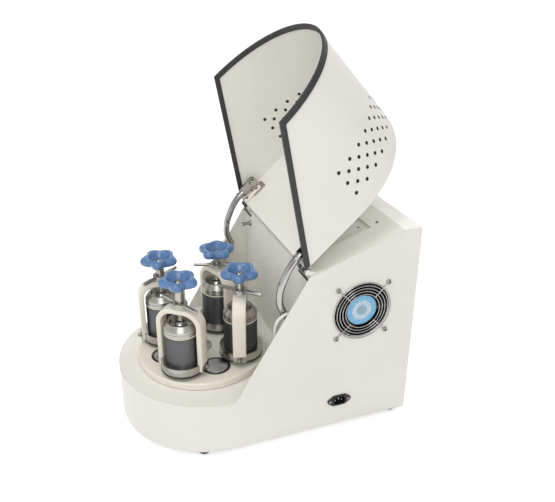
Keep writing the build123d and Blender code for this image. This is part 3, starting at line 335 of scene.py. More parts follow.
def joined(*shapes):
    """Several shapes as one."""
    points, faces = [], []
    for more_points, more_faces in shapes:
        base = len(points)
        points += [tuple(p) for p in more_points]
        faces += [tuple(i + base for i in face) for face in more_faces]
    return points, faces


def moved(shape, matrix):
    """The shape with its points moved by a matrix."""
    return [tuple(matrix @ Vector(p)) for p in shape[0]], shape[1]


def shift(x, y, z):
    """Matrix of a move, in millimetres for points and in metres for places."""
    return Matrix.Translation((x, y, z))


def turn(degrees, axis="Z"):
    """Matrix of a turn about an axis."""
    return Matrix.Rotation(math.radians(degrees), 4, axis)


def rectangle(half_x, half_y, x=0, y=0):
    """Corners of a rectangle about (x, y), counter-clockwise."""
    return [(x - half_x, y - half_y), (x + half_x, y - half_y), (x + half_x, y + half_y), (x - half_x, y + half_y)]


def soft(points, radius, steps=3, closed=False):
    """The outline with its corners rounded."""
    result = []
    count = len(points)
    for i, point in enumerate(points):
        if not closed and i in (0, count - 1):
            result.append(point)
            continue
        here, before, after = Vector(point), Vector(points[i - 1]), Vector(points[(i + 1) % count])
        into, out = before - here, after - here
        reach = min(radius, 0.45 * into.length, 0.45 * out.length)
        first, last = here + into.normalized() * reach, here + out.normalized() * reach
        for step in range(steps + 1):
            t = step / steps
            result.append(tuple(first * (1 - t) ** 2 + here * 2 * t * (1 - t) + last * t ** 2))
    return result


def lathe(profile, segments=72):
    """Surface of revolution about Z from (radius, height) points, listed from bottom to top."""
    points, rows, faces = [], [], []
    for radius, height in profile:
        if radius < 1e-6:
            rows.append([len(points)])
            points.append((0, 0, height))
        else:
            rows.append(range(len(points), len(points) + segments))
            for i in range(segments):
                angle = 2 * math.pi * i / segments
                points.append((radius * math.cos(angle), radius * math.sin(angle), height))
    for low, high in zip(rows, rows[1:]):
        for i in range(segments):
            j = (i + 1) % segments
            if len(low) == 1 and len(high) == 1:
                continue
            if len(low) == 1:
                faces.append((low[0], high[j], high[i]))
            elif len(high) == 1:
                faces.append((low[i], low[j], high[0]))
            else:
                faces.append((low[i], low[j], high[j], high[i]))
    return points, faces


def rounded_slab(outline, low, high, edge):
    """Prism whose upper and lower rims are rounded by moving the outline inwards."""
    rows = [(edge, low), (edge * 0.3, low + edge * 0.3), (0, low + edge), (0, high - edge)]
    rows += [(edge * 0.3, high - edge * 0.3), (edge, high)]
    count = len(outline)
    points, faces = [], []
    for inset, height in rows:
        for i in range(count):
            here, before, after = Vector(outline[i]), Vector(outline[i - 1]), Vector(outline[(i + 1) % count])
            a, b = (here - before).normalized(), (after - here).normalized()
            normal = Vector((-(a.y + b.y), a.x + b.x))
            normal /= max(normal.length_squared / 2, 0.3)
            inner = here + normal * inset
            points.append((inner.x, inner.y, height))
    for row in range(len(rows) - 1):
        for i in range(count):
            j = (i + 1) % count
            low_row, high_row = row * count, (row + 1) * count
            faces.append((low_row + i, low_row + j, high_row + j, high_row + i))
    faces.append(tuple(range(count))[::-1])
    faces.append(tuple(range(len(points) - count, len(points))))
    return points, faces


def arc(x, y, radius, start, end, steps=8):
    """Points on an arc about (x, y), with its angles in degrees."""
    return [
        (x + radius * math.cos(math.radians(start + (end - start) * i / steps)),
         y + radius * math.sin(math.radians(start + (end - start) * i / steps)))
        for i in range(steps + 1)
    ]


def tube(path, radius, sides=16):
    """Tube along a path of points; radius may be a list with one value per point."""
    points, faces = [], []
    radii = radius if isinstance(radius, (list, tuple)) else [radius] * len(path)
    path = [Vector(p) for p in path]
    normal = None
    for i, here in enumerate(path):
        ahead = (path[min(i + 1, len(path) - 1)] - path[max(i - 1, 0)]).normalized()
        if normal is None:
            normal = ahead.orthogonal().normalized()
        normal = (normal - ahead * normal.dot(ahead)).normalized()
        other = ahead.cross(normal)
        for k in range(sides):
            angle = 2 * math.pi * k / sides
            points.append(tuple(here + (normal * math.cos(angle) + other * math.sin(angle)) * radii[i]))
    for i in range(len(path) - 1):
        for k in range(sides):
            m = (k + 1) % sides
            faces.append((i * sides + k, i * sides + m, (i + 1) * sides + m, (i + 1) * sides + k))
    faces.append(tuple(range(sides))[::-1])
    faces.append(tuple(range(len(points) - sides, len(points))))
    return points, faces


def torus(major, minor, height, around=96, sides=12):
    """Ring of round wire about Z."""
    points, faces = [], []
    for i in range(around):
        angle = 2 * math.pi * i / around
        for k in range(sides):
            turn_by = 2 * math.pi * k / sides
            reach = major + minor * math.cos(turn_by)
            points.append((reach * math.cos(angle), reach * math.sin(angle), height + minor * math.sin(turn_by)))
    for i in range(around):
        for k in range(sides):
            a, b = i * sides, (i + 1) % around * sides
            m = (k + 1) % sides
            faces.append((a + k, b + k, b + m, a + m))
    return points, faces


def screw_head(radius, height):
    """Pan head with a pressed cross recess, standing on Z = 0."""
    rings, segments = 12, 48
    recess_reach, recess_half, recess_floor = radius * 0.62, radius * 0.13, height * 0.35
    points, faces = [(0, 0, recess_floor)], []
    for row in range(1, rings + 1):
        share = row / rings
        reach = radius * math.sin(share * math.pi / 2)
        crown = height * (0.55 + 0.45 * math.cos(share * math.pi / 2))
        for i in range(segments):
            angle = 2 * math.pi * i / segments
            x, y = reach * math.cos(angle), reach * math.sin(angle)
            inside = reach < recess_reach and min(abs(x), abs(y)) < recess_half
            points.append((x, y, recess_floor if inside else crown))
    for i in range(segments):
        angle = 2 * math.pi * i / segments
        points.append((radius * math.cos(angle), radius * math.sin(angle), 0))
    for i in range(segments):
        faces.append((0, 1 + i, 1 + (i + 1) % segments))
    for row in range(rings):
        for i in range(segments):
            a = 1 + row * segments
            b = a + segments
            j = (i + 1) % segments
            faces.append((a + i, b + i, b + j, a + j))
    return points, faces


def hexagon(reach, low, high, edge=0.6):
    """Six-sided head between two heights; reach is the radius to a corner."""
    outline = [(reach * math.cos(math.pi * i / 3), reach * math.sin(math.pi * i / 3)) for i in range(6)]
    return rounded_slab(outline, low, high, edge)


def thread(radius, pitch, depth, low, high, segments=32):
    """Helical thread between two heights."""
    rows = int((high - low) / pitch * 6)
    points, faces = [], []
    for row in range(rows + 1):
        height = low + (high - low) * row / rows
        for i in range(segments):
            phase = (height / pitch - i / segments) % 1.0
            fade = min(1.0, (height - low) / pitch, (high - height) / pitch)
            reach = radius - depth * fade * abs(2 * phase - 1)
            angle = 2 * math.pi * i / segments
            points.append((reach * math.cos(angle), reach * math.sin(angle), height))
    for row in range(rows):
        for i in range(segments):
            a, b, j = row * segments, (row + 1) * segments, (i + 1) % segments
            faces.append((a + i, a + j, b + j, b + i))
    return points, faces


# Grinding stations
CHROME, SATIN = MATS["chrome"], MATS["satin_steel"]
turned = metal("turned_steel", STEEL, 0.27, "turned", 0.000005, 2600.0, smudge=0.03, aniso=0.6, rim=0.6)
gasket_look = moulded("gasket_cream", rgb(222, 214, 192), 0.5)
screw_look = metal("screw_steel", rgb(160, 158, 154), 0.2, depth=0.000004, smudge=0.03)

# Turned profiles as (radius, height over the floor)
JAR = [(0, 148.5), (32.5, 148.5), (33.5, 150), (33.5, 221.5), (32.6, 222.4), (32.6, 224.4), (27, 224.4), (27, 156.5),
       (0, 156.5)]
LID = [(0, 221.4), (26.6, 221.4), (26.6, 226.4), (33.5, 226.4), (33.5, 232.2), (32.9, 232.8), (32.9, 233.4),
       (33.5, 234.0), (33.5, 238.4), (27.2, 247.4), (26.2, 249), (23, 249), (21.2, 243.5), (20, 240), (13.4, 239.7),
       (0, 239.7)]
GASKET = [(26.6, 224.5), (33.9, 224.5), (34.0, 225.4), (33.9, 226.3), (26.6, 226.3)]
YOKE_BOSS = [(10.6, 276.6), (10.2, 277.4), (10, 280.8), (6.1, 280.8)]
PRESSURE_PAD = [(0, 240.2), (11.6, 240.2), (12, 240.8), (12, 243.0), (11.2, 243.4), (7.8, 246.4), (7.2, 248),
                (7.2, 252.4), (6, 253.4), (6, 254)]
LOCK_NUT = [(6.1, 281.1), (13.6, 281.1), (15, 282.2), (15, 284.2), (14.4, 284.7), (14.4, 285.4), (15, 285.9),
            (15, 287.9), (13.6, 289.1), (6.1, 289.1)]

# Profiles of a leg's bolt, over the yoke's side
WASHER = [(0, 1.2), (6.2, 1.2), (6.2, 2.2), (0, 2.2)]
BOLT_END = [(0, 5.6), (3.1, 5.6), (3.1, 8.0), (2.5, 8.6), (0, 8.6)]

YOKE_HALF, YOKE_GAUGE, YOKE_DEPTH = 47, 10, 13
YOKE_FOOT, YOKE_CORNER = 146.5, (13, 242.8)
LEG_BOLT_HEIGHT = 153.5
THREAD_RADIUS, THREAD_PITCH, THREAD_DEPTH, THREAD_START = 6.0, 1.75, 0.75, 254
NUT_HEIGHT = 9.0
SLEEVE_START = 289.4

# Tommy bar: its height, and the (reach, radius) of a rounded end
BAR_HEIGHT = 285.1
BAR_END = ((48.0, 0.3), (47.7, 2.2), (46.8, 3.3), (45.2, 3.7))

# Knob: radius between lobes, share of the lobes' bulge, height over the nut's top
KNOB_ROWS = (
    (8.6, 0.0, -9.1), (10.5, 0.0, -8.8), (13.0, 0.0, -6.8), (15.8, 0.0, -3.4), (18.4, 0.02, 1.0),
    (20.4, 0.05, 4.6), (21.8, 0.14, 6.8), (23.2, 0.32, 7.9), (24.6, 0.56, 7.6), (25.7, 0.79, 5.8),
    (26.4, 0.94, 3.0), (26.6, 1.0, -0.4), (26.3, 0.98, -3.8), (25.2, 0.86, -7.0), (23.0, 0.62, -9.3),
    (19.5, 0.32, -10.2), (15.0, 0.1, -10.1), (8.4, 0.0, -9.7),
)
KNOB_LOBES, LOBE_BULGE, LOBE_SHARPNESS = 5, 11.4, 0.75


def knob_shape(nut_top):
    """Lobed knob with a deep bowl and fully rounded lobes."""
    around = 140
    points, faces = [], []
    for core, share, height in KNOB_ROWS:
        for i in range(around):
            angle = 2 * math.pi * i / around
            wave = 0.5 + 0.5 * math.cos(KNOB_LOBES * angle)
            reach = core + share * LOBE_BULGE * wave ** LOBE_SHARPNESS
            points.append((reach * math.cos(angle), reach * math.sin(angle), nut_top + height))
    for row in range(len(KNOB_ROWS) - 1):
        for i in range(around):
            a, b, j = row * around, (row + 1) * around, (i + 1) % around
            faces.append((b + i, b + j, a + j, a + i))
    faces.append(tuple(range(around)))
    faces.append(tuple(range(len(points) - around, len(points)))[::-1])
    return points, faces


def yoke_outline():
    """Closed (across, height) outline of the inverted U, counter-clockwise."""
    across, height = YOKE_CORNER
    inner_half = YOKE_HALF - YOKE_GAUGE
    bend, inner_bend = YOKE_HALF - across, inner_half - across
    outer = [(YOKE_HALF, YOKE_FOOT)] + arc(across, height, bend, 0, 90, 12)
    outer += arc(-across, height, bend, 90, 180, 12) + [(-YOKE_HALF, YOKE_FOOT)]
    inner = [(-inner_half, YOKE_FOOT)] + arc(-across, height, inner_bend, 180, 90, 12)
    inner += arc(across, height, inner_bend, 90, 0, 12) + [(inner_half, YOKE_FOOT)]
    return outer + inner


for number, angle, yoke_turn, bar_turn, knob_turn, nut_top in STATIONS:
    centre = round_table(STATION_RADIUS, angle)
    body, screw, knob_body = f"station_{number}", f"screw_{number}", f"knob_{number}"

    # Jar, lid and gasket
    piece(f"jar_body_{number}", lathe(soft(JAR, 0.8), 96), MATS["jar_grey"], body, centre, 30,
          [f"grinding_jar_{number}"])
    piece(f"lid_body_{number}", lathe(soft(LID, 0.7), 96), turned, body, centre, 30,
          [f"jar_lid_{number}"])
    piece(f"gasket_{number}", lathe(soft(GASKET, 0.3), 96), gasket_look, body, centre)

    # Yoke with a plate and a bolt on each leg
    arch = moved(rounded_slab(yoke_outline(), -YOKE_DEPTH, YOKE_DEPTH, 1.3), turn(90, "X"))
    boss = lathe(soft(YOKE_BOSS, 0.5))
    yoke_place = centre @ turn(yoke_turn)
    piece(f"yoke_arch_{number}", joined(arch, boss), MATS["frame_paint"], body, yoke_place, 30,
          [f"clamp_yoke_{number}"])
    for way in (0, 180):
        outward = yoke_place @ turn(way) @ shift(YOKE_HALF / 1000, 0, LEG_BOLT_HEIGHT / 1000) @ turn(90, "Y")
        plate = rounded_slab(rectangle(6.5, YOKE_DEPTH), -0.3, 1.2, 0.5)
        piece(f"leg_plate_{number}_{way}", plate, SATIN, body, outward)
        bolt = joined(lathe(soft(WASHER, 0.3)), hexagon(5.2, 2.2, 5.6), lathe(soft(BOLT_END, 0.4)))
        piece(f"leg_bolt_{number}_{way}", bolt, screw_look, body, outward)

    # Clamping screw with its domed nut
    seat = nut_top - NUT_HEIGHT
    stem = joined(
        lathe(soft(PRESSURE_PAD, 0.5)),
        thread(THREAD_RADIUS, THREAD_PITCH, THREAD_DEPTH, THREAD_START, seat + 0.5),
    )
    piece(f"screw_stem_{number}", stem, CHROME, screw, centre, 50, [f"clamp_screw_{number}"])
    dome = lathe(soft([(7.3, seat + 4.0), (6.6, seat + 6.2), (4.4, seat + 8.3), (0, nut_top)], 1.2))
    piece(f"acorn_nut_{number}", joined(hexagon(8.0, seat, seat + 4.6, 0.5), dome), CHROME, screw, centre, 40)

    # Knob and the sleeve under it
    piece(f"knob_flower_{number}", knob_shape(nut_top), MATS["knob_blue"], knob_body,
          centre @ turn(knob_turn), 60, [f"clamp_knob_{number}"])
    sleeve = [(6.1, SLEEVE_START), (8.5, SLEEVE_START), (8.5, nut_top - 11.6), (9.8, nut_top - 11.2),
              (9.8, nut_top - 9.3), (6.1, nut_top - 9.3)]
    piece(f"knob_sleeve_{number}", lathe(soft(sleeve, 0.4)), turned, knob_body, centre)

    # Lock nut with its tommy bar
    path = [(-reach, 0, BAR_HEIGHT) for reach, _ in BAR_END] + [(reach, 0, BAR_HEIGHT) for reach, _ in BAR_END[::-1]]
    radii = [radius for _, radius in BAR_END + BAR_END[::-1]]
    bar = moved(tube(path, radii, 20), turn(bar_turn))
    piece(f"lock_nut_body_{number}", joined(lathe(soft(LOCK_NUT, 0.4)), bar), turned, f"locknut_{number}",
          centre, 35, [f"lock_nut_{number}"])

# Turntable: cover discs over the idlers, and the hub
edge_black = moulded("cover_seal", rgb(46, 45, 45), 0.4)
disc_look = metal("disc_brushed", rgb(228, 225, 222), 0.36, "turned", 0.000003, 2600.0, smudge=0.02, aniso=0.8,
                  rim=1.0)

# Turned profiles as (radius, height over the table's top)
SEAL = [(23.4, 0), (29, 0), (29, 0.6), (28, 1), (24.2, 1), (23.4, 0.6)]
IDLER_PIN = [(0, -13.5), (11, -13.5), (11, -12.3), (8, -12.3), (8, 0)]
COVER = [(23.6, 0.1), (23.6, 1.2), (22.9, 1.6), (8, 1.62), (0, 1.62)]
HUB_CAP = [(19.7, 0), (19.7, 3.2), (18.6, 4.15), (6.5, 4.15), (6.0, 3.4), (0, 3.4)]


def on_table(profile):
    """The profile with its heights counted from the floor."""
    return [(radius, TABLE_TOP + height) for radius, height in profile]


for index in range(4):
    centre = round_table(IDLER_RADIUS, FIRST_ANGLE + 45 + 90 * index)
    seal = joined(lathe(soft(on_table(SEAL), 0.3), 96), lathe(on_table(IDLER_PIN)))
    piece(f"cover_seal_{index}", seal, edge_black, "turntable", centre, 35,
          ["idler_covers"] if index == 0 else [])
    plate = lathe(soft(on_table(COVER), 0.3), 96)
    piece(f"cover_disc_{index}", plate, disc_look, "turntable", centre)
    pip = moved(screw_head(1.9, 0.9), turn(20) @ shift(26.0, 0, TABLE_TOP + 1.0))
    piece(f"cover_screw_{index}", pip, screw_look, "turntable", centre @ turn(FIRST_ANGLE + 90 * index))
hub = stand_at(0, TABLE_Y, 0)
piece("hub_cap", lathe(soft(on_table(HUB_CAP), 0.4), 96), disc_look, "turntable", hub)
bolt = moved(hexagon(4.2, TABLE_TOP + 3.4, TABLE_TOP + 6.2, 0.4), turn(12))
piece("hub_bolt", bolt, screw_look, "turntable", hub)

# Fan: wire guard, screws, hub disc. The wall's outer face is FAN_FACE over the fan's middle.
FAN_FACE = BODY_HALF - FAN[0]
FAN_HOLE = 52.4 * math.sqrt(2)
GUARD_FIRST, GUARD_STEP, GUARD_RINGS, RING_WIRE, RING_LEVEL = 35.6, 6.0, 5, 0.9, 2.4
EYE_RADIUS, EYE_LEVEL, ARM_WIRE = 4.4, 1.1, 1.0
ARM = ((33.5, RING_LEVEL), (63.0, RING_LEVEL), (66.5, 1.4), (FAN_HOLE - 5.2, EYE_LEVEL))
fan_place = stand_at(*FAN) @ turn(90, "Y")
wires = [torus(GUARD_FIRST + GUARD_STEP * ring, RING_WIRE, FAN_FACE + RING_LEVEL) for ring in range(GUARD_RINGS)]
for corner in (45, 135, 225, 315):
    path = [(reach, 0, FAN_FACE + level) for reach, level in ARM]
    eye = torus(EYE_RADIUS, ARM_WIRE, FAN_FACE + EYE_LEVEL, 32, 10)
    wires.append(moved(tube(path, ARM_WIRE, 10), turn(corner)))
    wires.append(moved(eye, turn(corner) @ shift(FAN_HOLE, 0, 0)))
    head = moved(screw_head(4.6, 2.8), turn(corner) @ shift(FAN_HOLE, 0, FAN_FACE + 1.6) @ turn(corner * 0.7 + 12))
    piece(f"guard_screw_{corner}", head, screw_look, "casing", fan_place)
piece("guard_wires", joined(*wires), CHROME, "casing", fan_place, 60, ["fan_guard"])


def hub_label():
    """Plain blue disc with a paler band, without words or signs. Its radii are in metres."""
    band_radius, band_half, middle = 0.0155, 0.0045, 0.0075
    material, nodes, bsdf, where = start_material("hub_disc_print")
    flat = nodes.add("VectorMath", {0: where, 1: (1.0, 1.0, 0.0)}, operation="MULTIPLY").outputs[0]
    radius = nodes.add("VectorMath", {0: flat}, operation="LENGTH").outputs["Value"]
    band = nodes.math("COMPARE", radius, band_radius)
    band.node.inputs[2].default_value = band_half
    mottle = nodes.noise(where, 160.0, 5.0)
    blue = nodes.mix(nodes.span(mottle, 0.0, 1.0), rgb(96, 160, 206), rgb(136, 192, 224))
    pale = nodes.mix(nodes.span(mottle, 0.0, 1.0), rgb(206, 216, 222), rgb(160, 186, 204))
    core = nodes.mix(nodes.math("LESS_THAN", radius, middle), nodes.mix(band, blue, pale), rgb(150, 165, 176))
    set_up(bsdf, nodes, Base_Color=core, Roughness=0.32, Normal=nodes.bump(mottle, 0.00002, 0.3))
    return material


HUB_DISC = [(31, 0.05), (31, 0.35), (30.4, 0.5), (21, 0.5), (20.6, 0.35), (11.2, 0.35), (10.8, 0.5), (0, 0.5)]
piece("hub_disc", lathe(soft(HUB_DISC, 0.15), 96), hub_label(), "casing", fan_place)

# Mains inlet: outlines seen from outside, heights over the wall
FLANGE_TOP, LIP_TOP, SOCKET_FLOOR, SOCKET_BACK = 2.5, 3.9, -13.5, -20.0
inlet_place = stand_at(*INLET) @ turn(90, "Z") @ turn(90, "X")


def ring_between(outer, inner, low, high):
    """Ring between two outlines with the same number of points."""
    count = len(outer)
    points = [(x, y, low) for x, y in outer] + [(x, y, high) for x, y in outer]
    points += [(x, y, high) for x, y in inner] + [(x, y, low) for x, y in inner]
    faces = []
    for row in range(4):
        for i in range(count):
            a, b, j = row * count, (row + 1) % 4 * count, (i + 1) % count
            faces.append((a + i, a + j, b + j, b + i))
    return points, faces


ears = [(13, -12), (25.5, -3.2), (25.5, 3.2), (13, 12), (-13, 12), (-25.5, 3.2), (-25.5, -3.2), (-13, -12)]
mouth = [(9, -8.5), (12.2, -5.4), (12.2, 4.6), (8.6, 8.5), (-8.6, 8.5), (-12.2, 4.6), (-12.2, -5.4), (-9, -8.5)]
collar = [(11, -10.2), (14, -6.4), (14, 5.6), (10.2, 10.2), (-10.2, 10.2), (-14, 5.6), (-14, -6.4), (-11, -10.2)]
flange = ring_between(soft(ears, 3.0, 4, True), soft(mouth, 0.8, 4, True), 0.0, FLANGE_TOP)
rim = ring_between(soft(collar, 1.2, 4, True), soft(mouth, 0.8, 4, True), FLANGE_TOP, LIP_TOP)
barrel = ring_between(soft(collar, 1.0, 4, True), soft(mouth, 0.8, 4, True), SOCKET_BACK, 0.0)
floor_plate = rounded_slab(soft(collar, 1.0, 4, True), SOCKET_BACK, SOCKET_FLOOR, 0.4)
piece("inlet_body", joined(flange, rim, barrel, floor_plate), MATS["black_plastic"], "casing",
      inlet_place, 30, ["mains_inlet"])
pins = [rounded_slab(rectangle(1, 2, x, y), -14, -1.5, 0.4) for x, y in ((-7, -3.5), (7, -3.5), (0, 0.5))]
piece("inlet_pins", joined(*pins), CHROME, "casing", inlet_place)
for way in (-1, 1):
    head = moved(screw_head(3.0, 1.7), shift(20 * way, 0, FLANGE_TOP) @ turn(25))
    piece(f"inlet_screw_{way + 1}", head, screw_look, "casing", inlet_place)

# Feet: moulded cups with a flared upper rim, as (x, y, radius)
FEET = ((156.0, -57.0, 14.0), (162.0, 345.0, 15.6))
casing_place = stand_at(0, 0, 0)
feet = []
for way in (-1, 1):
    for x, y, radius in FEET:
        profile = [(0, 0), (radius - 3.4, 0), (radius - 2, 1.4), (radius, 10.6), (radius, FOOT_HEIGHT),
                   (0, FOOT_HEIGHT)]
        feet.append(moved(lathe(soft(profile, 0.9), 48), shift(way * x, y, 0)))
piece("foot_cups", joined(*feet), MATS["foot_rubber"], "casing", casing_place, 35, ["rubber_feet"])

# Screws on the sloping top, on the sunken control panel, and on the rear panel
PANEL_DROP = 2.0
SLOPE_SCREWS = ((-118.0, 177.0), (118.0, 177.0), (-118.0, 46.0), (118.0, 46.0))
PANEL_SCREWS = ((-102.0, 78.0), (-102.0, 144.0), (102.0, 78.0), (102.0, 144.0))
REAR_SCREWS_X, REAR_SCREWS_Z = (-172.0, 0.0, 172.0), (28.0, 218.0, 408.0)
slope = stand_at(0, *SLOPE_START) @ Matrix.Rotation(SLOPE_ANGLE, 4, "X")
for x, along in SLOPE_SCREWS:
    piece(f"slope_screw_{x:.0f}_{along:.0f}", screw_head(3.4, 1.5), screw_look, "casing",
          slope @ shift(x / 1000, along / 1000, 0))
for x, along in PANEL_SCREWS:
    piece(f"panel_screw_{x:.0f}_{along:.0f}", screw_head(2.4, 1.1), screw_look, "casing",
          slope @ shift(x / 1000, along / 1000, -PANEL_DROP / 1000))
rear = stand_at(0, BACK_Y, 0) @ turn(-90, "X")
for x in REAR_SCREWS_X:
    for height in REAR_SCREWS_Z:
        piece(f"rear_screw_{x:.0f}_{height:.0f}", screw_head(3.2, 1.5), screw_look, "casing",
              rear @ shift(x / 1000, -height / 1000, 0))

# Hood: a thin black cup in each vent hole as painted shade that makes the holes read dark, laid out in the closed
# frame about the hinge
hood_open = stand_at(0, *HINGE) @ Matrix.Rotation(-OPEN_ANGLE, 4, "X")
NOSE_Y, NOSE_RADIUS = 6.9, 183.95
VENT_FIRST, VENT_SWEEP, VENT_COLUMNS = -7.4, 165.2, 35
VENT_LOWEST, VENT_PITCH = 265.6, 13.5
VENT_CUP = [(0, -0.3), (2.6, -0.3), (2.7, -0.84), (3.6, -0.84), (3.6, 0.84), (2.7, 0.84), (2.6, 0.3), (0, 0.3)]
cups = []
for column in range(VENT_COLUMNS):
    facing = VENT_FIRST - VENT_SWEEP * column / (VENT_COLUMNS - 1)
    spot_x = NOSE_RADIUS * math.cos(math.radians(facing))
    spot_y = NOSE_Y + NOSE_RADIUS * math.sin(math.radians(facing))
    for row in ((1, 3) if column % 2 else (0, 2, 4)):
        spot_z = VENT_LOWEST + VENT_PITCH * row
        place = shift(spot_x, spot_y - HINGE[0], spot_z - HINGE[1]) @ turn(facing) @ turn(90, "Y")
        cups.append(moved(lathe(VENT_CUP, 24), place))
# Near-black cups: painted shade standing in for the darkness seen through the vent holes
painted_shade_look = moulded("vent_painted_shade", rgb(20, 20, 21), 0.6)
piece("vent_painted_shade", joined(*cups), painted_shade_look, "hood", hood_open)

# Hinges: ridged straps with screws on the hood, ribs on the barrels, strips on the shoulder
STRAP_X, STRAP_MIDDLE, STRAP_SCREWS = 152.4, -27.0, (-12.0, -41.0)
STRAP_RIDGES, RIDGE_PATH = (148.6, 152.4, 156.2), ((-4.5, -13.2), (-6.0, -14.2), (-48.0, -14.2), (-49.5, -13.2))
BARREL_X, BARREL_RIBS = 162.0, (-17, -12.5, -9.5, -5, -2, 2, 5, 9.5, 12.5, 17)
STRIP_X, STRIP_Y, STRIP_Z = 158.0, 143.2, 352.5
for way in (-1, 1):
    ridges = [tube([(way * x, *point) for point in RIDGE_PATH], 2.6, 12) for x in STRAP_RIDGES]
    base = moved(rounded_slab(rectangle(6, 23), -14.4, -11.3, 0.5), shift(way * STRAP_X, STRAP_MIDDLE, 0))
    piece(f"hood_strap_{way + 1}", joined(base, *ridges), MATS["frame_paint"], "hood", hood_open, 40)
    for along in STRAP_SCREWS:
        head = moved(screw_head(3.2, 1.6), shift(way * STRAP_X, along, -16.4) @ turn(180, "X"))
        piece(f"strap_screw_{way + 1}_{-along:.0f}", head, screw_look, "hood", hood_open)
for way in (-1, 1):
    ribs = [moved(torus(5.7, 0.7, 0, 40, 8), shift(way * BARREL_X + step, 0, 0) @ turn(90, "Y"))
            for step in BARREL_RIBS]
    piece(f"barrel_ribs_{way + 1}", joined(*ribs), MATS["hinge_black"], "casing",
          stand_at(0, *HINGE))
    strip = moved(rounded_slab(rectangle(22, 2.2), 0, 2.0, 0.6), shift(way * STRIP_X, 0, 0) @ turn(90, "X"))
    piece(f"shoulder_strip_{way + 1}", strip, MATS["hinge_black"], "casing",
          stand_at(0, STRIP_Y, STRIP_Z))

# Stays: the slotted tracks of their lower pins, and collars on the bars. Points are (y, z).
STAY_X, STAY_TOP, STAY_BEND = 164.0, (155.5, 419.0), (115.5, 383.0)
SLOT_PATH = ((103.5, 282.0), (90.8, 275.2), (84.8, 253.5), (94.0, 223.5), (121.5, 195.4))
# Half width of the slot, and where that part of the channel starts and ends across
TRACK_HALF, TRACK_PARTS = 8.0, ((4.6, 173.5, 175.5), (7.0, 175.5, 181.0))
# Distance below the stay's top, and length
COLLARS = ((28.0, 8.0), (39.0, 3.0))
COLLAR_SHARES, COLLAR_RADII = (0.0, 0.1, 0.9, 1.0), (7.0, 7.7, 7.7, 7.0)


def stretched(path, radius, steps=8):
    """Closed outline at one distance round an open path."""
    path = [Vector(p) for p in soft(path, 12.0, 5)]
    ways = [(path[min(i + 1, len(path) - 1)] - path[max(i - 1, 0)]).normalized() for i in range(len(path))]
    sides = [[p + Vector((-w.y, w.x)) * radius * hand for p, w in zip(path, ways)] for hand in (1, -1)]
    ends = []
    for point, direction in ((path[-1], ways[-1]), (path[0], -ways[0])):
        heading = math.degrees(math.atan2(direction.y, direction.x))
        ends.append(arc(point.x, point.y, radius, heading + 90, heading - 90, steps)[1:-1])
    outline = [tuple(p) for p in sides[0]] + ends[0] + [tuple(p) for p in sides[1][::-1]] + ends[1]
    return outline[::-1]


tracks = []
for way in (-1, 1):
    for slot_half, start, end in TRACK_PARTS:
        low, high = sorted((way * start, way * end))
        tracks.append(ring_between(stretched(SLOT_PATH, TRACK_HALF), stretched(SLOT_PATH, slot_half), low, high))
piece("stay_tracks", joined(*tracks), MATS["casing_paint"], "casing",
      casing_place @ turn(90, "Z") @ turn(90, "X"), 30, ["stay_guides"])
bar_way = (Vector(STAY_BEND) - Vector(STAY_TOP)).normalized()
for way in (-1, 1):
    collars = []
    for start, length in COLLARS:
        low, high = (Vector(STAY_TOP) + bar_way * d for d in (start, start + length))
        span = [(way * STAY_X, *(low * (1 - t) + high * t)) for t in COLLAR_SHARES]
        collars.append(tube(span, COLLAR_RADII, 28))
    piece(f"stay_collar_{way + 1}", joined(*collars), CHROME, "stays", casing_place)

# Floor, world and lights
FLOOR_HALF, FLOOR_GLOW = 30, 0.5
WHITE = (1.0, 1.0, 1.0, 1.0)
# Name, place, aim, size, power, tint
LAMPS = (
    ("key", (0.5, -1.1, 3.2), (0, 0, 0.25), (1.6, 1.2), 28.0, (1.0, 0.985, 0.975)),
    ("side_fill", (2.4, -1.0, 1.9), (0, 0, 0.3), (1.4, 1.4), 22.0, (1.0, 0.99, 0.98)),
    ("rim", (-1.8, 1.8, 2.0), (0, 0, 0.4), (1.0, 1.4), 14.0, (1.0, 1.0, 1.0)),
)


def ground_material():
    """Pale floor that glows a little where it is seen or mirrored, and lights nothing."""
    material, nodes, bsdf, _ = start_material("pale_floor")
    set_up(bsdf, nodes, Base_Color=(0.82, 0.82, 0.82, 1.0), Roughness=0.9, Specular_IOR_Level=0.1)
    path = nodes.add("LightPath")
    seen = nodes.math("MAXIMUM", path.outputs["Is Camera Ray"], path.outputs["Is Glossy Ray"])
    seen = nodes.math("MAXIMUM", seen, path.outputs["Is Transmission Ray"])
    set_up(bsdf, nodes, Emission_Color=WHITE, Emission_Strength=nodes.math("MULTIPLY", seen, FLOOR_GLOW))
    return material


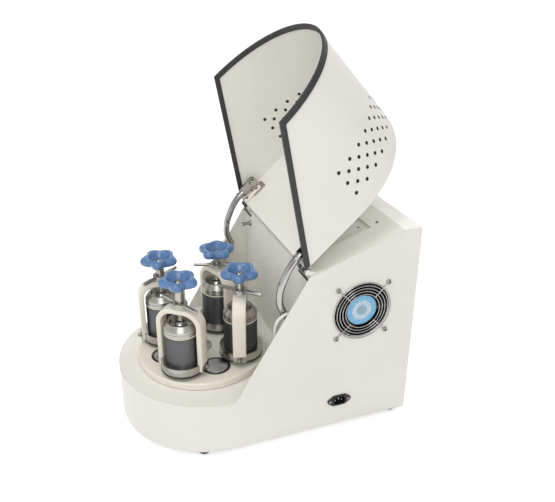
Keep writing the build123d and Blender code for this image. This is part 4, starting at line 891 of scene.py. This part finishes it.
mesh = bpy.data.meshes.new("floor")
mesh.from_pydata([(x, y, 0) for x, y in rectangle(FLOOR_HALF, FLOOR_HALF)], [], [(0, 1, 2, 3)])
floor = bpy.data.objects.new("floor", mesh)
mesh.materials.append(ground_material())
bpy.context.scene.collection.objects.link(floor)

# World: white to the camera, an even fill for the light, and soft upright panels in the reflections
world = bpy.data.worlds.new("studio")
bpy.context.scene.world = world
world.use_nodes = True
nodes = Nodes(world.node_tree)
path = nodes.add("LightPath")
way = nodes.add("SeparateXYZ", {0: nodes.add("TexCoord").outputs["Generated"]})
rise = nodes.span(way.outputs[2], 1.0, 0.5, 0.05, 0.8)
heading = nodes.math("ARCTAN2", way.outputs[0], way.outputs[1])
flag = nodes.math("ABSOLUTE", nodes.math("SINE", nodes.math("MULTIPLY", heading, 1.5)))
panel = nodes.span(flag, 0.1, 1.0, 0.2, 0.45)
studio = nodes.math("MULTIPLY", rise, panel)
soft_fill = nodes.mix(path.outputs["Is Glossy Ray"], (0.70, 0.695, 0.68, 1.0), WHITE)
strength = nodes.add("Mix", {0: path.outputs["Is Glossy Ray"], 2: 1.0, 3: studio}, data_type="FLOAT").outputs[0]
backdrop = nodes.math("MAXIMUM", path.outputs["Is Camera Ray"], path.outputs["Is Transmission Ray"])
color = nodes.mix(backdrop, soft_fill, WHITE)
strength = nodes.math("MAXIMUM", strength, backdrop)
background = world.node_tree.nodes["Background"]
world.node_tree.links.new(color, background.inputs["Color"])
world.node_tree.links.new(strength, background.inputs["Strength"])


def area(name, place, aim, size, power, tint):
    """Rectangular lamp turned towards a point."""
    lamp = bpy.data.lights.new(name, "AREA")
    lamp.shape = "RECTANGLE"
    lamp.size, lamp.size_y = size
    lamp.energy = power
    lamp.color = tint
    thing = bpy.data.objects.new(name, lamp)
    bpy.context.scene.collection.objects.link(thing)
    thing.location = place
    thing.rotation_mode = "QUATERNION"
    thing.rotation_quaternion = (Vector(aim) - Vector(place)).to_track_quat("-Z", "Y")


for lamp in LAMPS:
    area(*lamp)

bpy.context.scene.view_settings.view_transform = "Standard"
